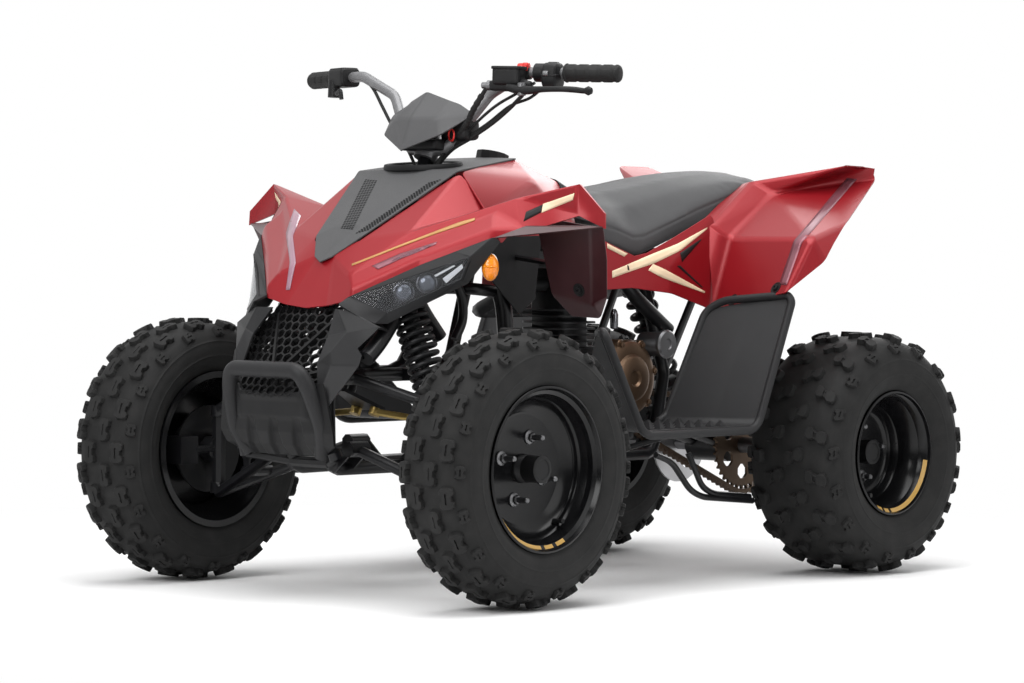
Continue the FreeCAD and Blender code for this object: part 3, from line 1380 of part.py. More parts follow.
def frame_side():
    """the left half of the cradle: three bent tubes, a brace, and the tabs of the arms and the shock"""
    radius, bend = size["frame_tube_radius"], size["frame_bend"]
    low, high, middle, brace = ([at(*share) for share in shares]
                                for shares in (low_shares, high_shares, middle_shares, brace_shares))
    pieces = [pipe(low, radius, bend / 2), pipe(high, radius, bend), pipe(middle, radius, bend), tube(*brace, size["brace_radius"])]
    half, bush = size["arm_bush_length"] / 2, size["arm_bush_radius"]
    for pivot in upper_pivots:
        pieces += tabs(pivot, V(pivot.x, low[0].y, pivot.z), half, bush)
    for pivot in lower_pivots:
        pieces += tabs(pivot, V(pivot.x, low[1].y, low[1].z), half, bush)
    pieces += tabs(shock_top, V(shock_top.x, high[1].y, shock_top.z), eye_half, eye_radius)
    foot_end, leg = hoop_points[0], (hoop_points[1] - hoop_points[0]).normalize()
    pad_end = foot_end - leg * size["hoop_radius"]
    pieces += [tube(foot_end - leg * gap, pad_end, size["hoop_radius"]), tube(pad_end, at(*crossing_shares[0]), size["brace_radius"])]
    pivot_end = swing_pivot + left * (size["swing_pivot_half"] + gap)
    plate = left * size["tab_wall"]
    crossing = at(*crossing_shares[5])
    crossing.y = pivot_end.y
    pieces += [tube(pivot_end, pivot_end + plate, size["swing_pivot_radius"]),
               plate_between(pivot_end, crossing, size["frame_tube_radius"], plate),
               tube(crossing, at(*crossing_shares[5]), size["brace_radius"])]
    return pieces


def frame_middle():
    """the cross tubes, the steering head and the cradle under the engine"""
    radius, pieces = size["frame_tube_radius"], []
    for share in crossing_shares:
        end = at(*share)
        pieces.append(tube(mirrored(end), end, size["arm_tube_radius"]))
    for height, y_share in ((size["lower_head_height"], 0.110), (size["upper_head_height"], 0.102)):
        head, end = on_stem(height), at(0, y_share, 0)
        half = stem_axis * size["head_length"] / 2
        pieces += [tube(head - half, head + half, size["head_radius"], fine_sides), tube(head - end, head + end, size["brace_radius"])]
    level = case_origin.z - gap - size["brace_radius"]
    for share in cradle_shares:
        end = at(*share)
        top = V(end.x, end.y, level)
        pieces += [tube(mirrored(top), top, size["brace_radius"]), tube(end, top, radius / 2), tube(mirrored(end), mirrored(top), radius / 2)]
    pieces += tabs(rear_shock_top, V(rear_shock_top.x, 0, at(*crossing_shares[6]).z), eye_half, eye_radius, left)
    return pieces


def panel_stays():
    pieces = []
    for label, outside, inside, anchor in stay_shares:
        shape = max(nodes[label].Shape.Solids, key=lambda solid: solid.BoundBox.YMax)
        pieces.append(joined(stay(shape, at(*outside), at(*inside), at(*anchor))))
    return pieces


def frame_nodes():
    """the frame as two sides, the middle that joins them and the stays, each cut to meet the last"""
    side_left = joined(frame_side())
    side_right = mirror_shape(side_left)
    stem_bore = bar(stem_foot - stem_axis * overrun, clamp_centre, size["stem_radius"] + running)
    middle = joined(frame_middle()).cut([side_left, side_right, stem_bore])
    free_shape("frame_left", side_left)
    free_shape("frame_right", side_right)
    free_shape("frame_middle", middle)
    stays = [piece.cut([side_left, middle]) for piece in panel_stays()]
    stays = [max(piece.Solids, key=lambda solid: solid.Volume) for piece in stays]
    can = nodes["exhaust"].Shape
    under, over = at(-0.450, -0.340, 0.500), at(-0.450, -0.340, 0.800)
    hanger = joined(stay(can, under, over, at(-0.440, -0.222, 0.705))).cut(side_right)
    stays_right = [mirror_shape(piece) for piece in stays] + [max(hanger.Solids, key=lambda solid: solid.Volume)]
    free_shape("stays_left", Part.makeCompound(stays))
    free_shape("stays_right", Part.makeCompound(stays_right))


frame_nodes()


def check_and_write():
    document.recompute()
    for item in document.Objects:
        if "Invalid" in item.State or "Error" in item.State:
            raise RuntimeError(f"{item.Label} did not build: {item.State}")
    for label, piece in nodes.items():
        if piece.Shape.isNull() or not piece.Shape.isValid() or piece.Shape.Volume <= 0:
            raise RuntimeError(f"{label} has no valid solid")
    os.makedirs("parts", exist_ok=True)
    for label, piece in nodes.items():
        piece.Shape.exportStep(os.path.join("parts", label + ".step"))


check_and_write()
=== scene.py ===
import json
import math

import bmesh
import bpy
import numpy as np
from mathutils import Matrix, Vector


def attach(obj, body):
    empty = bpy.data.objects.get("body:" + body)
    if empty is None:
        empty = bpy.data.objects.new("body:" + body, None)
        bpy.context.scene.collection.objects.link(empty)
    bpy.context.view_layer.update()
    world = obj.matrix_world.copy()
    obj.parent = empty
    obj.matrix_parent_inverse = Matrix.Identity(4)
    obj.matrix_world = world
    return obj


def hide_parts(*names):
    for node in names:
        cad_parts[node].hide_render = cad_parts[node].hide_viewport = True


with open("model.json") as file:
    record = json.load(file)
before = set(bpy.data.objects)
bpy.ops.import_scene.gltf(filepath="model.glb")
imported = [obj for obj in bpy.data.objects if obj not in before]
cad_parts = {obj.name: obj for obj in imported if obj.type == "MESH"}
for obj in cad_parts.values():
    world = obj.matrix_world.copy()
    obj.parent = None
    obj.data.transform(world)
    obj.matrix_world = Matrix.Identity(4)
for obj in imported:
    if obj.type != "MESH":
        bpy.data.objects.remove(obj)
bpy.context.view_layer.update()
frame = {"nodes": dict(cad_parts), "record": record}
print("frame loaded:", len(frame["nodes"]), "nodes")

wholeTurn = 2 * math.pi
wheelbase, halfWidth, bodyHeight = 1.135, 0.5, 1.0   # what the shares below are shares of
wheelMiddle = 6.5   # millimetres from the middle of the wheelbase forward to the middle of the part


def at(x, y, z):
    return np.array([x * wheelbase, y * halfWidth, z * bodyHeight])


def mm(x, y, z):   # millimetres from the middle of the wheelbase, on the ground
    return np.array([x - wheelMiddle, y, z]) / 1000


def unit(v):
    v = np.asarray(v, float)
    return v / np.linalg.norm(v, axis=-1, keepdims=True)


# The photograph's camera, which the render and the films laid on the skins both use: yaw and pitch give its
# view line, and roll turns the picture round it. Pixels are those of the photograph.
view = {"place": (6.2219, 5.5111, 0.7363), "yaw": 3.8746, "pitch": 0.0303, "roll": 0.0081, "lens": 141.51,
        "sensor": 36, "shift": 0.0060, "size": (1024, 683)}


def viewAxes():   # the camera's view line, its right and its up
    yaw, pitch, roll = view["yaw"], view["pitch"], view["roll"]
    look = np.array([math.cos(yaw) * math.cos(pitch), math.sin(yaw) * math.cos(pitch), -math.sin(pitch)])
    side = np.array([math.sin(yaw), -math.cos(yaw), 0])
    top = np.cross(side, look)
    return look, side * math.cos(roll) + top * math.sin(roll), top * math.cos(roll) - side * math.sin(roll)


def sightLines(pixels):   # directions from the camera through pixels of the photograph
    look, right, above = viewAxes()
    pixels = np.asarray(pixels, float)
    scale = view["lens"] / view["sensor"] * view["size"][0]
    u = pixels[..., :1] - view["size"][0] * (0.5 - view["shift"])
    v = pixels[..., 1:2] - view["size"][1] / 2
    return unit(look + right * u / scale - above * v / scale)


# Shader groups shared by several finishes

def newGroup(name, inputs, outputs):   # an input without a value is a colour
    group = bpy.data.node_groups.new(name, "ShaderNodeTree")
    for label, value in inputs.items():
        kind = "NodeSocketColor" if value is None else "NodeSocketFloat"
        socket = group.interface.new_socket(name=label, in_out="INPUT", socket_type=kind)
        if value is not None:
            socket.default_value = value
    for label, kind in outputs.items():
        group.interface.new_socket(name=label, in_out="OUTPUT", socket_type=kind)
    return group, group.nodes.new("NodeGroupInput").outputs, group.nodes.new("NodeGroupOutput").inputs


def node(tree, kind, sockets=None, **values):
    made = tree.nodes.new(kind)
    for key, value in values.items():
        setattr(made, key, value)
    for key, value in (sockets or {}).items():
        made.inputs[key].default_value = value
    return made


def sums(tree, operation, **values):
    return node(tree, "ShaderNodeMath", operation=operation, **values)


def join(tree, *pairs):
    for source, target in pairs:
        tree.links.new(source, target)


def grainGroup():
    # Moulded grain: fine noise over the object's coordinates as a bump, and slow noise that shifts the
    # roughness.
    group, enter, leave = newGroup("mouldedGrain", {"Scale": 900.0, "Depth": 0.1, "Roughness": 0.5,
                                                    "Spread": 0.1},
                                   {"Normal": "NodeSocketVector", "Roughness": "NodeSocketFloat"})
    place = node(group, "ShaderNodeTexCoord").outputs["Object"]
    fine = node(group, "ShaderNodeTexNoise", {"Detail": 3})
    slow = node(group, "ShaderNodeTexNoise", {"Scale": 14, "Detail": 4})
    bump = node(group, "ShaderNodeBump", {"Distance": 0.001})
    centred = sums(group, "SUBTRACT", sockets={1: 0.5})
    spread = sums(group, "MULTIPLY")
    total = sums(group, "ADD", use_clamp=True)
    join(group, (place, fine.inputs["Vector"]), (place, slow.inputs["Vector"]),
         (enter["Scale"], fine.inputs["Scale"]), (fine.outputs["Fac"], bump.inputs["Height"]),
         (enter["Depth"], bump.inputs["Strength"]), (slow.outputs["Fac"], centred.inputs[0]),
         (centred.outputs[0], spread.inputs[0]), (enter["Spread"], spread.inputs[1]),
         (spread.outputs[0], total.inputs[0]), (enter["Roughness"], total.inputs[1]),
         (bump.outputs["Normal"], leave["Normal"]), (total.outputs[0], leave["Roughness"]))
    return group


def mottleGroup():
    # Uneven colour: a base colour and a worn or dusty one, mixed by a noise with soft edges.
    group, enter, leave = newGroup("unevenColour", {"Base": None, "Worn": None, "Scale": 20.0,
                                                    "Amount": 0.3},
                                   {"Color": "NodeSocketColor"})
    place = node(group, "ShaderNodeTexCoord")
    noise = node(group, "ShaderNodeTexNoise", {"Detail": 6, "Roughness": 0.6})
    ramp = node(group, "ShaderNodeValToRGB")
    for element, position in zip(ramp.color_ramp.elements, (0.42, 0.68)):
        element.position = position
    amount = sums(group, "MULTIPLY")
    mix = node(group, "ShaderNodeMix", data_type="RGBA")
    join(group, (place.outputs["Object"], noise.inputs["Vector"]), (enter["Scale"], noise.inputs["Scale"]),
         (noise.outputs["Fac"], ramp.inputs["Fac"]), (ramp.outputs["Color"], amount.inputs[0]),
         (enter["Amount"], amount.inputs[1]), (amount.outputs[0], mix.inputs["Factor"]),
         (enter["Base"], mix.inputs["A"]), (enter["Worn"], mix.inputs["B"]),
         (mix.outputs["Result"], leave["Color"]))
    return group


groups = {"grain": grainGroup(), "mottle": mottleGroup()}


def finish(name, base, worn=None, amount=0.25, mottle=18, rough=0.5, spread=0.12, metal=0.0, coat=0.0,
           coatRough=0.2, grain=900, depth=0.1, **extra):
    # A finish: uneven colour and grain from the groups, feeding one Principled shader.
    material = bpy.data.materials.new(name)
    material.use_nodes = True
    tree = material.node_tree
    shader = tree.nodes["Principled BSDF"]
    own = {"Metallic": metal, "Coat Weight": coat, "Coat Roughness": coatRough, **extra}
    for key, value in own.items():
        shader.inputs[key].default_value = value
    worn = worn or [min(1, c * 1.5 + 0.01) for c in base]
    colour = node(tree, "ShaderNodeGroup", node_tree=groups["mottle"],
                  sockets={"Base": (*base, 1), "Worn": (*worn, 1), "Scale": mottle, "Amount": amount})
    surface = node(tree, "ShaderNodeGroup", node_tree=groups["grain"],
                   sockets={"Scale": grain, "Depth": depth, "Roughness": rough, "Spread": spread})
    join(tree, (colour.outputs["Color"], shader.inputs["Base Color"]),
         (surface.outputs["Normal"], shader.inputs["Normal"]),
         (surface.outputs["Roughness"], shader.inputs["Roughness"]))
    return material


dim = {"Specular IOR Level": 0.22}   # dark plastics, paint and rubber mirror little of the white round them
semi = {"Specular IOR Level": 0.35}
glow = {"Emission Color": (1, 1, 1, 1), "Emission Strength": 0.9}
glass = {"Transmission Weight": 0.95, "IOR": 1.12}
finishes = {
    "red": finish("redPlastic", (0.25, 0.004, 0.009), (0.29, 0.008, 0.014), amount=0.2, mottle=6,
                  rough=0.42,
                  spread=0.06, metal=0.34, coat=0.22, coatRough=0.22, grain=2600, depth=0.03, **semi),
    # painted shade: a darker copy of the red plastic, for the flaps behind the front wheels and the
    # fairing's underside
    "maroon": finish("maroonPaintedShade", (0.028, 0.002, 0.004), rough=0.4, metal=0.2, coat=0.15, grain=1800,
                     depth=0.05),
    "grey": finish("greyPlastic", (0.017, 0.017, 0.018), (0.024, 0.024, 0.025), grain=1500, depth=0.16,
                   **dim),
    "satin": finish("satinPlastic", (0.066, 0.066, 0.068), (0.080, 0.080, 0.082), rough=0.52, grain=1500,
                    depth=0.16, **dim),
    # painted highlight and reflection: pale lilac where the red paint mirrors the white surroundings, along
    # the fairing's band and on its far edge
    "lilac": finish("lilacPaintedReflection", (0.24, 0.13, 0.17), rough=0.35, coat=0.3, depth=0.03),
    "black": finish("blackPlastic", (0.007, 0.007, 0.0075), rough=0.48, grain=1500, depth=0.12, **dim),
    "seat": finish("seatVinyl", (0.060, 0.060, 0.062), (0.078, 0.078, 0.080), rough=0.55, depth=0.35,
                   **dim),
    "rubber": finish("tyreRubber", (0.012, 0.012, 0.012), (0.022, 0.0215, 0.021), amount=0.45, mottle=30,
                     rough=0.72, spread=0.2, grain=700, depth=0.3, **dim),
    "grip": finish("gripRubber", (0.012, 0.012, 0.012), rough=0.65, grain=1200, depth=0.2, **dim),
    "rim": finish("rimPaint", (0.004, 0.004, 0.0045), rough=0.22, spread=0.04, coat=0.08, coatRough=0.15,
                  grain=500, depth=0.02, **dim),
    "frame": finish("framePaint", (0.007, 0.007, 0.008), rough=0.34, spread=0.1, coat=0.12, grain=700,
                    depth=0.05,
                    **dim),
    "steel": finish("satinSteel", (0.42, 0.42, 0.43), rough=0.32, metal=0.9, grain=1200, depth=0.05),
    "alloy": finish("barAlloy", (0.17, 0.17, 0.175), rough=0.42, metal=0.5, grain=1200, depth=0.05),
    "dull": finish("dullSteel", (0.16, 0.16, 0.165), rough=0.4, metal=0.9, depth=0.08),
    "zinc": finish("yellowZinc", (0.50, 0.36, 0.12), (0.32, 0.2, 0.08), amount=0.5, rough=0.35, metal=0.9,
                   depth=0.08),
    "bronze": finish("bronzeAlloy", (0.15, 0.095, 0.06), (0.10, 0.06, 0.04), rough=0.36, metal=0.85,
                     grain=700,
                     depth=0.12),
    "engine": finish("engineBlack", (0.016, 0.016, 0.017), rough=0.42, metal=0.3, grain=600, depth=0.2,
                     **dim),
    "brown": finish("sprocketSteel", (0.085, 0.055, 0.035), (0.15, 0.10, 0.06), rough=0.42, metal=0.8,
                    grain=700),
    "orange": finish("orangeLens", (0.85, 0.24, 0.01), rough=0.18, coat=0.6, coatRough=0.05, grain=400,
                     depth=0.05),
    "redLens": finish("redLens", (0.42, 0.008, 0.008), rough=0.2, coat=0.6, coatRough=0.05, grain=400,
                      depth=0.05),
    "redPart": finish("redSwitch", (0.62, 0.02, 0.015), rough=0.35, depth=0.05),
    "gold": finish("goldStripe", (0.36, 0.17, 0.035), rough=0.35, coat=0.3, depth=0.03),
    "rimGold": finish("rimGoldPaint", (0.44, 0.255, 0.048), rough=0.35, coat=0.3, depth=0.03),
    "cream": finish("creamStripe", (0.72, 0.56, 0.38), rough=0.4, depth=0.03),
    # painted reflection: a paler, greyer red where the red paint mirrors the white surroundings, on the
    # fairing's band and the rear fender
    "plum": finish("plumPaintedReflection", (0.20, 0.07, 0.09), rough=0.36, metal=0.45, coat=0.2, depth=0.03),
    "mirror": finish("lampReflector", (0.16, 0.16, 0.17), rough=0.2, metal=1.0, grain=400, depth=0.02),
    # near black: the lamp pans and the steering well's dish, and painted shade in the hood's slots and on
    # the fender liners
    "pan": finish("lampPanAndPaintedShade", (0.0015, 0.0015, 0.002), rough=0.6, depth=0.02, **dim),
    "bulb": finish("projectorGlass", (0.34, 0.36, 0.40), amount=0.05, rough=0.06, spread=0.02, metal=0.6,
                   grain=300, depth=0.01),
    "lamp": finish("lampStrip", (0.80, 0.82, 0.85), amount=0.05, rough=0.2, metal=0.3, grain=300,
                   depth=0.01, **glow),
    "clear": finish("clearLens", (0.45, 0.46, 0.48), amount=0.05, rough=0.05, spread=0.0, grain=300,
                    depth=0.0,
                    **glass),
}
print("finishes made:", len(finishes))


# Mesh helpers

def gridFaces(rows, columns, closeRows=False, closeColumns=False):
    # Quads between neighbours of a grid: rows by columns, each closed round where asked.
    r = np.arange(rows if closeRows else rows - 1)[:, None]
    c = np.arange(columns if closeColumns else columns - 1)[None, :]
    r2, c2 = (r + 1) % rows, (c + 1) % columns
    quads = np.stack([r * columns + c, r * columns + c2, r2 * columns + c2, r2 * columns + c], axis=-1)
    return quads.reshape(-1, 4).tolist()


def hullFaces(grid):   # a grid of rings, closed round and by a flat face at both ends
    rows, columns = grid.shape[:2]
    ends = [list(range(columns))[::-1], list(range((rows - 1) * columns, rows * columns))]
    return gridFaces(rows, columns, False, True) + ends


def nodeBody(label):
    return next(b for b, nodes in frame["record"]["behaviour"]["bodies"].items() if label in nodes)


def nodeSlot(label):
    return next(s["material_slot"] for s in frame["record"]["subparts"] if s["node"] == label)


def finishPiece(mesh, name, material, body, slot, stands, bevel=0.0, segments=2, angle=35, recalc=False):
    # Smooth where faces meet under the angle, with rounded edges where asked.
    if recalc:
        work = bmesh.new()
        work.from_mesh(mesh)
        bmesh.ops.remove_doubles(work, verts=work.verts, dist=1e-6)
        bmesh.ops.recalc_face_normals(work, faces=work.faces)
        work.to_mesh(mesh)
        work.free()
    mesh.polygons.foreach_set("use_smooth", np.ones(len(mesh.polygons), bool))
    mesh.update()
    mesh.set_sharp_from_angle(angle=math.radians(angle))
    piece = bpy.data.objects.new(name, mesh)
    bpy.context.scene.collection.objects.link(piece)
    mesh.materials.append(finishes[material])
    if bevel:
        edges = addBevel(piece, "edges", bevel, segments, angle)
        edges.harden_normals = True
    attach(piece, body)
    if stands:
        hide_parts(*stands)
    return piece


def addBevel(piece, name, width, segments, angle):
    bevel = piece.modifiers.new(name, "BEVEL")
    bevel.width, bevel.segments = width, segments
    bevel.limit_method, bevel.angle_limit = "ANGLE", math.radians(angle)
    return bevel


def addPiece(name, points, faces, material, label, stands=(), side=1, **options):
    # A piece that rides with a node, or with the body given.
    mesh = bpy.data.meshes.new(name)
    points = np.asarray(points, float).reshape(-1, 3) * [1, side, 1]
    mesh.from_pydata(points.tolist(), [], faces)
    body, slot = options.pop("body", None) or nodeBody(label), options.pop("slot", label)
    slot = nodeSlot(slot) if slot in frame["nodes"] else slot
    return finishPiece(mesh, name, material, body, slot, stands, recalc=options.pop("recalc", True),
                       **options)


def bothSides(name, points, faces, material, label, stands=(), **options):
    # A piece on the left, which stands for what it replaces, and its mirror image on the right.
    addPiece(name + "_left", points, faces, material, label, stands, **options)
    addPiece(name + "_right", points, [face[::-1] for face in faces], material, label, side=-1, **options)


def hull(name, grid, material, label, stands=(), **options):
    return addPiece(name, grid, hullFaces(grid), material, label, stands, **options)


def hullPair(name, grid, material, label, stands=(), **options):
    bothSides(name, grid, hullFaces(grid), material, label, stands, **options)


def dress(label, material, bevel, segments, angle, spread=0.6):
    # A copy of a node with its flat facets merged, its edges rounded and its round tubes shaded smooth.
    mesh = frame["nodes"][label].data.copy()
    work = bmesh.new()
    work.from_mesh(mesh)
    bmesh.ops.remove_doubles(work, verts=work.verts, dist=2e-5)
    bmesh.ops.dissolve_limit(work, angle_limit=math.radians(spread), verts=work.verts, edges=work.edges)
    work.to_mesh(mesh)
    work.free()
    mesh.materials.clear()
    finishPiece(mesh, label + "_dressed", material, nodeBody(label), nodeSlot(label), (label,), bevel,
                segments, angle)


def smoothLine(points, count):
    # A Catmull-Rom curve through the points, sampled evenly in its parameter.
    p = np.asarray(points, float)
    ends = np.vstack([2 * p[:1] - p[1:2], p, 2 * p[-1:] - p[-2:-1]])
    t = np.linspace(0, len(p) - 1, count)
    k = np.minimum(t.astype(int), len(p) - 2)
    u = (t - k)[:, None]
    a, b, c, d = ends[k], ends[k + 1], ends[k + 2], ends[k + 3]
    return 0.5 * (2 * b + (c - a) * u + (2 * a - 5 * b + 4 * c - d) * u ** 2 + (3 * b - a - 3 * c + d)
                  * u ** 3)


def rounded(points, radius, steps=6):
    # A polyline whose corners become quadratic arcs between points a radius away, short of half the shorter
    # side.
    p = np.asarray(points, float)
    corner, before, after = p[1:-1], p[:-2] - p[1:-1], p[2:] - p[1:-1]
    shorter = np.minimum(np.linalg.norm(before, axis=1), np.linalg.norm(after, axis=1))
    reach = np.minimum(radius, 0.45 * shorter)[:, None]
    start, end = corner + unit(before) * reach, corner + unit(after) * reach
    t = np.linspace(0, 1, steps)[None, :, None]
    arcs = start[:, None] * (1 - t) ** 2 + 2 * corner[:, None] * t * (1 - t) + end[:, None] * t ** 2
    return np.vstack([p[:1], arcs.reshape(-1, 3), p[-1:]])


def roundTurn(count):
    return np.linspace(0, wholeTurn, count, endpoint=False)


def tubeGrid(path, radius, sides=14, ref=None):
    # Circles across a path: centre plus radius times cosine and sine along two directions square to it.
    path = np.asarray(path, float)
    along = unit(np.gradient(path, axis=0))
    if ref is None:
        ref = np.eye(3)[np.argmin(np.abs(along).sum(axis=0))]
    first = unit(np.cross(along, ref))
    second = np.cross(along, first)
    turn = roundTurn(sides)[None, :, None]
    radius = np.broadcast_to(radius, len(path))[:, None, None]
    return path[:, None] + radius * (np.cos(turn) * first[:, None] + np.sin(turn) * second[:, None])


def turnedGrid(profile, centre, axis, count=64):
    # A profile of (height along the axis, radius) points turned round the axis.
    axis = unit(axis)
    side = unit(np.cross(axis, [0.31, 0.17, 0.93]))
    other = np.cross(axis, side)
    turn = roundTurn(count)[:, None]
    ring = np.cos(turn) * side + np.sin(turn) * other
    profile = np.asarray(profile, float)
    return np.asarray(centre) + profile[:, None, :1] * axis + profile[:, None, 1:] * ring[None]


def joinParts(parts):   # several (points, faces) sets as one
    points, faces, start = [], [], 0
    for p, f in parts:
        p = np.asarray(p, float).reshape(-1, 3)
        points.append(p)
        faces += [[i + start for i in face] for face in f]
        start += len(p)
    return np.vstack(points), faces


def joinHulls(grids):
    return joinParts([(grid, hullFaces(grid)) for grid in grids])


def slabFaces(rows, columns):   # a sheet of points, its copy behind it, and a rim between the two
    count = rows * columns
    rim = (list(range(columns)) + [r * columns + columns - 1 for r in range(1, rows)]
           + [count - 1 - k for k in range(1, columns)] + [(rows - 1 - r) * columns for r in range(1,
                                                                                                   rows
                                                                                                   - 1)])
    faces = gridFaces(rows, columns)
    faces += [[i + count for i in face[::-1]] for face in faces]
    return faces + [[rim[k], rim[k - 1], rim[k - 1] + count, rim[k] + count] for k in range(len(rim))]

# Tyres: heights are outwards from the wheel's middle plane, and a lug row is its distance from that plane,
# its phase, the lugs' half length and half width in millimetres, their skew and their share of the full
# height.
tyres = {
    "front": {"hub": (0.561, 0.4455, 0.267), "radius": 0.267, "lug": 0.011, "count": 18,
              "half": [(0.0, 0.2555), (0.030, 0.2545), (0.056, 0.2480), (0.073, 0.2330), (0.0825, 0.2120),
                       (0.0845, 0.1930), (0.0810, 0.1750), (0.0755, 0.1640), (0.0735, 0.1590)],
              "rows": [(0.018, 0.0, 22, 12, 0.0, 1.0), (0.051, 0.5, 21, 12, 0.0, 1.0),
                       (0.0750, 0.05, 13, 9, 0.0, 0.7)],
              "ribs": (0.0955, 0.1250)},
    "rear": {"hub": (-0.574, 0.3865, 0.254), "radius": 0.254, "lug": 0.012, "count": 17,
             "half": [(0.0, 0.2415), (0.050, 0.2405), (0.084, 0.2340), (0.106, 0.2180), (0.117, 0.1960),
                      (0.1190, 0.1760), (0.1150, 0.1560), (0.1040, 0.1390), (0.1000, 0.1320)],
             "rows": [(0.027, 0.0, 13, 21, 0.35, 1.0), (0.076, 0.5, 13, 21, -0.35, 1.0),
                      (0.1135, 0.1, 14, 10, 0.2, 0.7)],
             "ribs": (0.1375, 0.1660)},
}
tread = {"worn": 0.0023, "rib": 0.0012, "ribSteps": (-0.0022, -0.0008, 0.0008, 0.0022),
         "bead": (0.016, 0.004, 0.02),
         "samples": 401, "rings": 57, "columns": 168}
# A lug's outline: two wide ends and a waist, as shares of half its length (round the tyre) and half its
# width. Its rings are scaled by two shares and lifted: the foot, the edge, the rounded top, and the slot's
# rim and floor.
lugQuarter = [(1.0, 0.55), (0.80, 1.0), (0.38, 1.0), (0.22, 0.66)]
lugOutline = np.array([(-a, -b) for a, b in lugQuarter] + [(a, -b) for a, b in lugQuarter[::-1]]
                      + lugQuarter + [(-a, b) for a, b in lugQuarter[::-1]])
lugRings = {"foot": (1.10, 1.14, -0.001), "edge": (1.0, 1.0, 0.0014), "top": (0.94, 0.90),
            "slot": (0.52, 0.15),
            "wideSlot": (0.15, 0.5), "deep": 0.003}
hands = {"left": 1, "right": -1}


def sectionAt(tyre, reach):
    # The tyre's section at a distance from its crown: place (y, radius) and outward normal, from a smooth
    # curve.
    half = np.array(tyre["half"])
    line = smoothLine(np.vstack([(half * [-1, 1])[:0:-1], half]), tread["samples"])
    steps = np.r_[0, np.cumsum(np.linalg.norm(np.diff(line, axis=0), axis=1))]
    steps -= steps[tread["samples"] // 2]
    place = np.stack([np.interp(reach, steps, line[:, k]) for k in (0, 1)], axis=-1)
    slope = np.gradient(line, axis=0)
    normal = unit(np.stack([np.interp(reach, steps, -slope[:, 1]), np.interp(reach, steps, slope[:, 0])],
                           axis=-1))
    return place, normal, steps[-1]


def wheelPoints(place, turn):   # (y, radius) at an angle round the axle, as points round the origin
    place = np.asarray(place, float)
    across, radius, turn = np.broadcast_arrays(place[..., 0], place[..., 1], turn)
    return np.stack([radius * np.cos(turn), across, radius * np.sin(turn)], axis=-1)


def carcass(tyre):
    # The tyre without its lugs: the section curve turned round the axle, with two thin ribs on each side
    # wall.
    end = sectionAt(tyre, 0)[2]
    extra = [s * (rib + np.array(tread["ribSteps"])) for s in (-1, 1) for rib in tyre["ribs"]]
    reach = np.sort(np.r_[np.linspace(-end, end, tread["rings"]), np.concatenate(extra)])
    place, normal, end = sectionAt(tyre, reach)
    ribs = sum(np.exp(-((np.abs(reach) - rib) / tread["rib"]) ** 2) for rib in tyre["ribs"])
    place = place + normal * (tread["rib"] * ribs)[:, None]
    inset, rise, hollow = tread["bead"]
    right, left, bead = place[0, 0], place[-1, 0], place[-1, 1]
    inner = np.array([(left - inset, bead + rise), (0.0, bead + hollow), (right + inset, bead + rise)])
    place = np.vstack([place, inner])
    grid = wheelPoints(place[:, None], roundTurn(tread["columns"])[None, :])
    return grid, gridFaces(len(place), tread["columns"], True, True)


def lugs(tyre):
    # Every lug: its outline carried over the section's curve in rings, from the foot to the edge and the
    # slot.
    parts, count, radius = [], tyre["count"], tyre["radius"]
    for (offset, phase, length, width, skew, tall), side in [(row, s) for row in tyre["rows"] for s in (-1,
                                                                                                        1)]:
        top, wide = tall * tyre["lug"], width > length
        slot = lugRings["wideSlot" if wide else "slot"]
        edge = (*lugRings["edge"][:2], top - lugRings["edge"][2])
        rings = np.array([lugRings["foot"], edge, (*lugRings["top"], top), (*slot, top),
                          (*slot, top - lugRings["deep"])])
        local = lugOutline[None] * rings[:, None, :2]
        local = local[..., ::-1] if wide else local
        around = local[..., 0] * length / 1000 + side * skew * np.tanh(local[..., 1] * 3) * length / 1000
        place, normal, end = sectionAt(tyre, side * (offset + local[..., 1] * width / 1000))
        place = place + normal * rings[:, None, 2:]
        place[..., 1] = np.minimum(place[..., 1], radius - tread["worn"])
        start = (np.arange(count) + phase + (0.5 if side < 0 else 0)) * wholeTurn / count
        points = wheelPoints(np.broadcast_to(place, (count, *place.shape)),
                             start[:, None, None] + around[None] / radius)
        faces = hullFaces(points[0])
        parts += [(lug, faces[:-2] + faces[-1:]) for lug in points]
    return parts


def wheelPiece(name, kind, hand, parts, material, **options):
    # Parts round the axle of the left wheel, or their mirror image on the right one.
    points, faces = joinParts(parts)
    body = "rear_axle" if kind == "rear" else "wheel_front_" + hand
    addPiece(name, points + tyres[kind]["hub"], faces, material, None, side=hands[hand], body=body,
             **options)


for kind, hand, stands in (("front", "left", "front_tyre_left"), ("front", "right", "front_tyre_right"),
                           ("rear", "left", "rear_tyres"), ("rear", "right", None)):
    wheelPiece(f"{kind}_tyre_{hand}_tread", kind, hand, [carcass(tyres[kind])] + lugs(tyres[kind]),
               "rubber", angle=38,
               slot="tyre_rubber", stands=(stands,) if stands else ())
print("tyres made")

